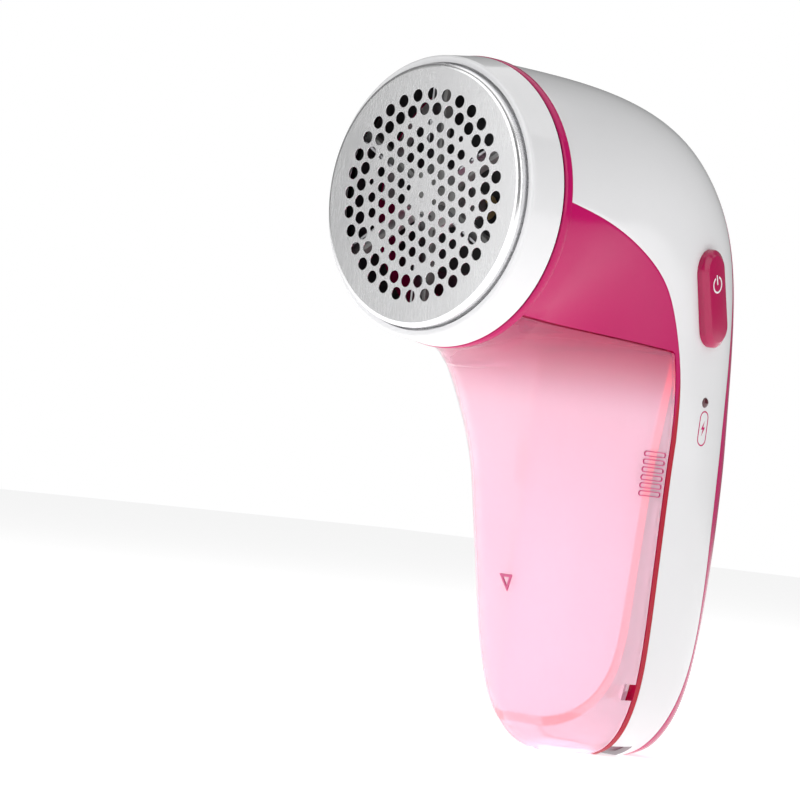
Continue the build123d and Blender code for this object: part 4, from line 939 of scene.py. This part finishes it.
finishes = {
    "white_shell": white_plastic,
    "magenta_trim": magenta_plastic,
    "foil_steel": foil_steel,
    "blade_steel": steel("blade_steel", (0.50, 0.50, 0.52), 0.2),
    "zinc_steel": steel("zinc_steel", (0.6, 0.61, 0.63), 0.3),
    "core_steel": steel("core_steel", (0.3, 0.31, 0.33), 0.4),
    "motor_steel": steel("motor_steel", (0.6, 0.6, 0.62), 0.25),
    "switch_steel": steel("switch_steel", (0.65, 0.65, 0.66), 0.3),
    "copper": steel("copper", (0.78, 0.42, 0.22), 0.3),
    "bronze": steel("bronze", (0.5, 0.36, 0.18), 0.4),
    "cutter_plastic": gloss_plastic("cutter_plastic", (0.55, 0.55, 0.54), (0.5, 0.5, 0.49), 0.35),
    "dark_plastic": gloss_plastic("dark_plastic", (0.03, 0.03, 0.035), (0.02, 0.02, 0.02), 0.35),
    "magnet": gloss_plastic("magnet", (0.08, 0.08, 0.085), (0.05, 0.05, 0.05), 0.6),
    "lamp_red": lamp_red,
    "board_green": gloss_plastic("board_green", (0.02, 0.13, 0.05), (0.015, 0.1, 0.04), 0.3),
    "cell_sleeve": gloss_plastic("cell_sleeve", (0.03, 0.16, 0.07), (0.02, 0.12, 0.05), 0.2),
    "inlet_plastic": gloss_plastic("inlet_plastic", (0.16, 0.0, 0.05), (0.12, 0.0, 0.04), 0.3),
}
for part in frame["record"]["subparts"]:
    if part["material_slot"] in finishes:
        for slot in frame["nodes"][part["node"]].material_slots:
            slot.material = finishes[part["material_slot"]]

# ---- Floor, light and camera -----------------------------------------------------------
# A plain pale floor, a large soft light on each side and one above, in a white room.

bpy.ops.mesh.primitive_plane_add(size=6, location=(0, 0, 0))
floor = bpy.context.object
floor.name = "floor"
paper = Finish("paper")
floor.data.materials.append(paper.show(paper.principled(
    Base_Color=paper.blend(paper.noise(3), (0.96, 0.96, 0.96), (0.94, 0.94, 0.94)),
    Roughness=0.7,
    Emission_Color=(1, 1, 1, 1),
    Emission_Strength=0.72,
)))


def soft_light(name, at, aim, size, power):
    light = bpy.data.lights.new(name, "AREA")
    light.shape = "RECTANGLE"
    light.size, light.size_y = size
    light.energy = power
    lamp = bpy.data.objects.new(name, light)
    lamp.location = at
    lamp.rotation_euler = (Vector(aim) - Vector(at)).to_track_quat("-Z", "Y").to_euler()
    bpy.context.collection.objects.link(lamp)


soft_light("key", (-0.23, -0.85, 0.35), (0, 0, 0.08), (0.8, 1.0), 3.8)
soft_light("side", (0.9, 0.1, 0.5), (0, 0, 0.08), (0.6, 0.9), 2.6)
soft_light("top", (0.0, 0.2, 1.0), (0, 0, 0.05), (1.2, 1.2), 4.2)
world = bpy.data.worlds.new("studio")
bpy.context.scene.world = world
world.use_nodes = True
sky = world.node_tree
sky.nodes["Background"].inputs["Color"].default_value = (1, 1, 1, 1)
ray = sky.nodes.new("ShaderNodeLightPath")
seen = sky.nodes.new("ShaderNodeMath")
seen.operation = "MAXIMUM"
strength = sky.nodes.new("ShaderNodeMapRange")
strength.inputs["To Min"].default_value = 0.2
strength.inputs["To Max"].default_value = 1.0
sky.links.new(ray.outputs["Is Camera Ray"], seen.inputs[0])
sky.links.new(ray.outputs["Is Transmission Ray"], seen.inputs[1])
sky.links.new(seen.outputs[0], strength.inputs["Value"])
sky.links.new(strength.outputs[0], sky.nodes["Background"].inputs["Strength"])
bpy.context.scene.view_settings.view_transform = "Standard"

head = Vector((0, LIP_Y, AXIS_Z))
away = Vector((0.6992, -0.7107, -0.0772)).normalized()
right = Vector((0.7145, 0.6911, 0.1095)).normalized()
up = away.cross(right)
camera = bpy.data.cameras.new("camera")
camera.sensor_width = 36
camera.lens = 171
eye = bpy.data.objects.new("camera", camera)
eye.location = head + away * 0.8
aim = -away - right * (28 / 3800) - up * (204 / 3800)
eye.rotation_mode = "QUATERNION"
forward = aim.normalized()
side = forward.cross(up).normalized()
top = side.cross(forward)
eye.rotation_quaternion = Matrix((side, top, -forward)).transposed().to_quaternion()
camera.clip_start, camera.clip_end = 0.01, 20
bpy.context.collection.objects.link(eye)
bpy.context.scene.camera = eye
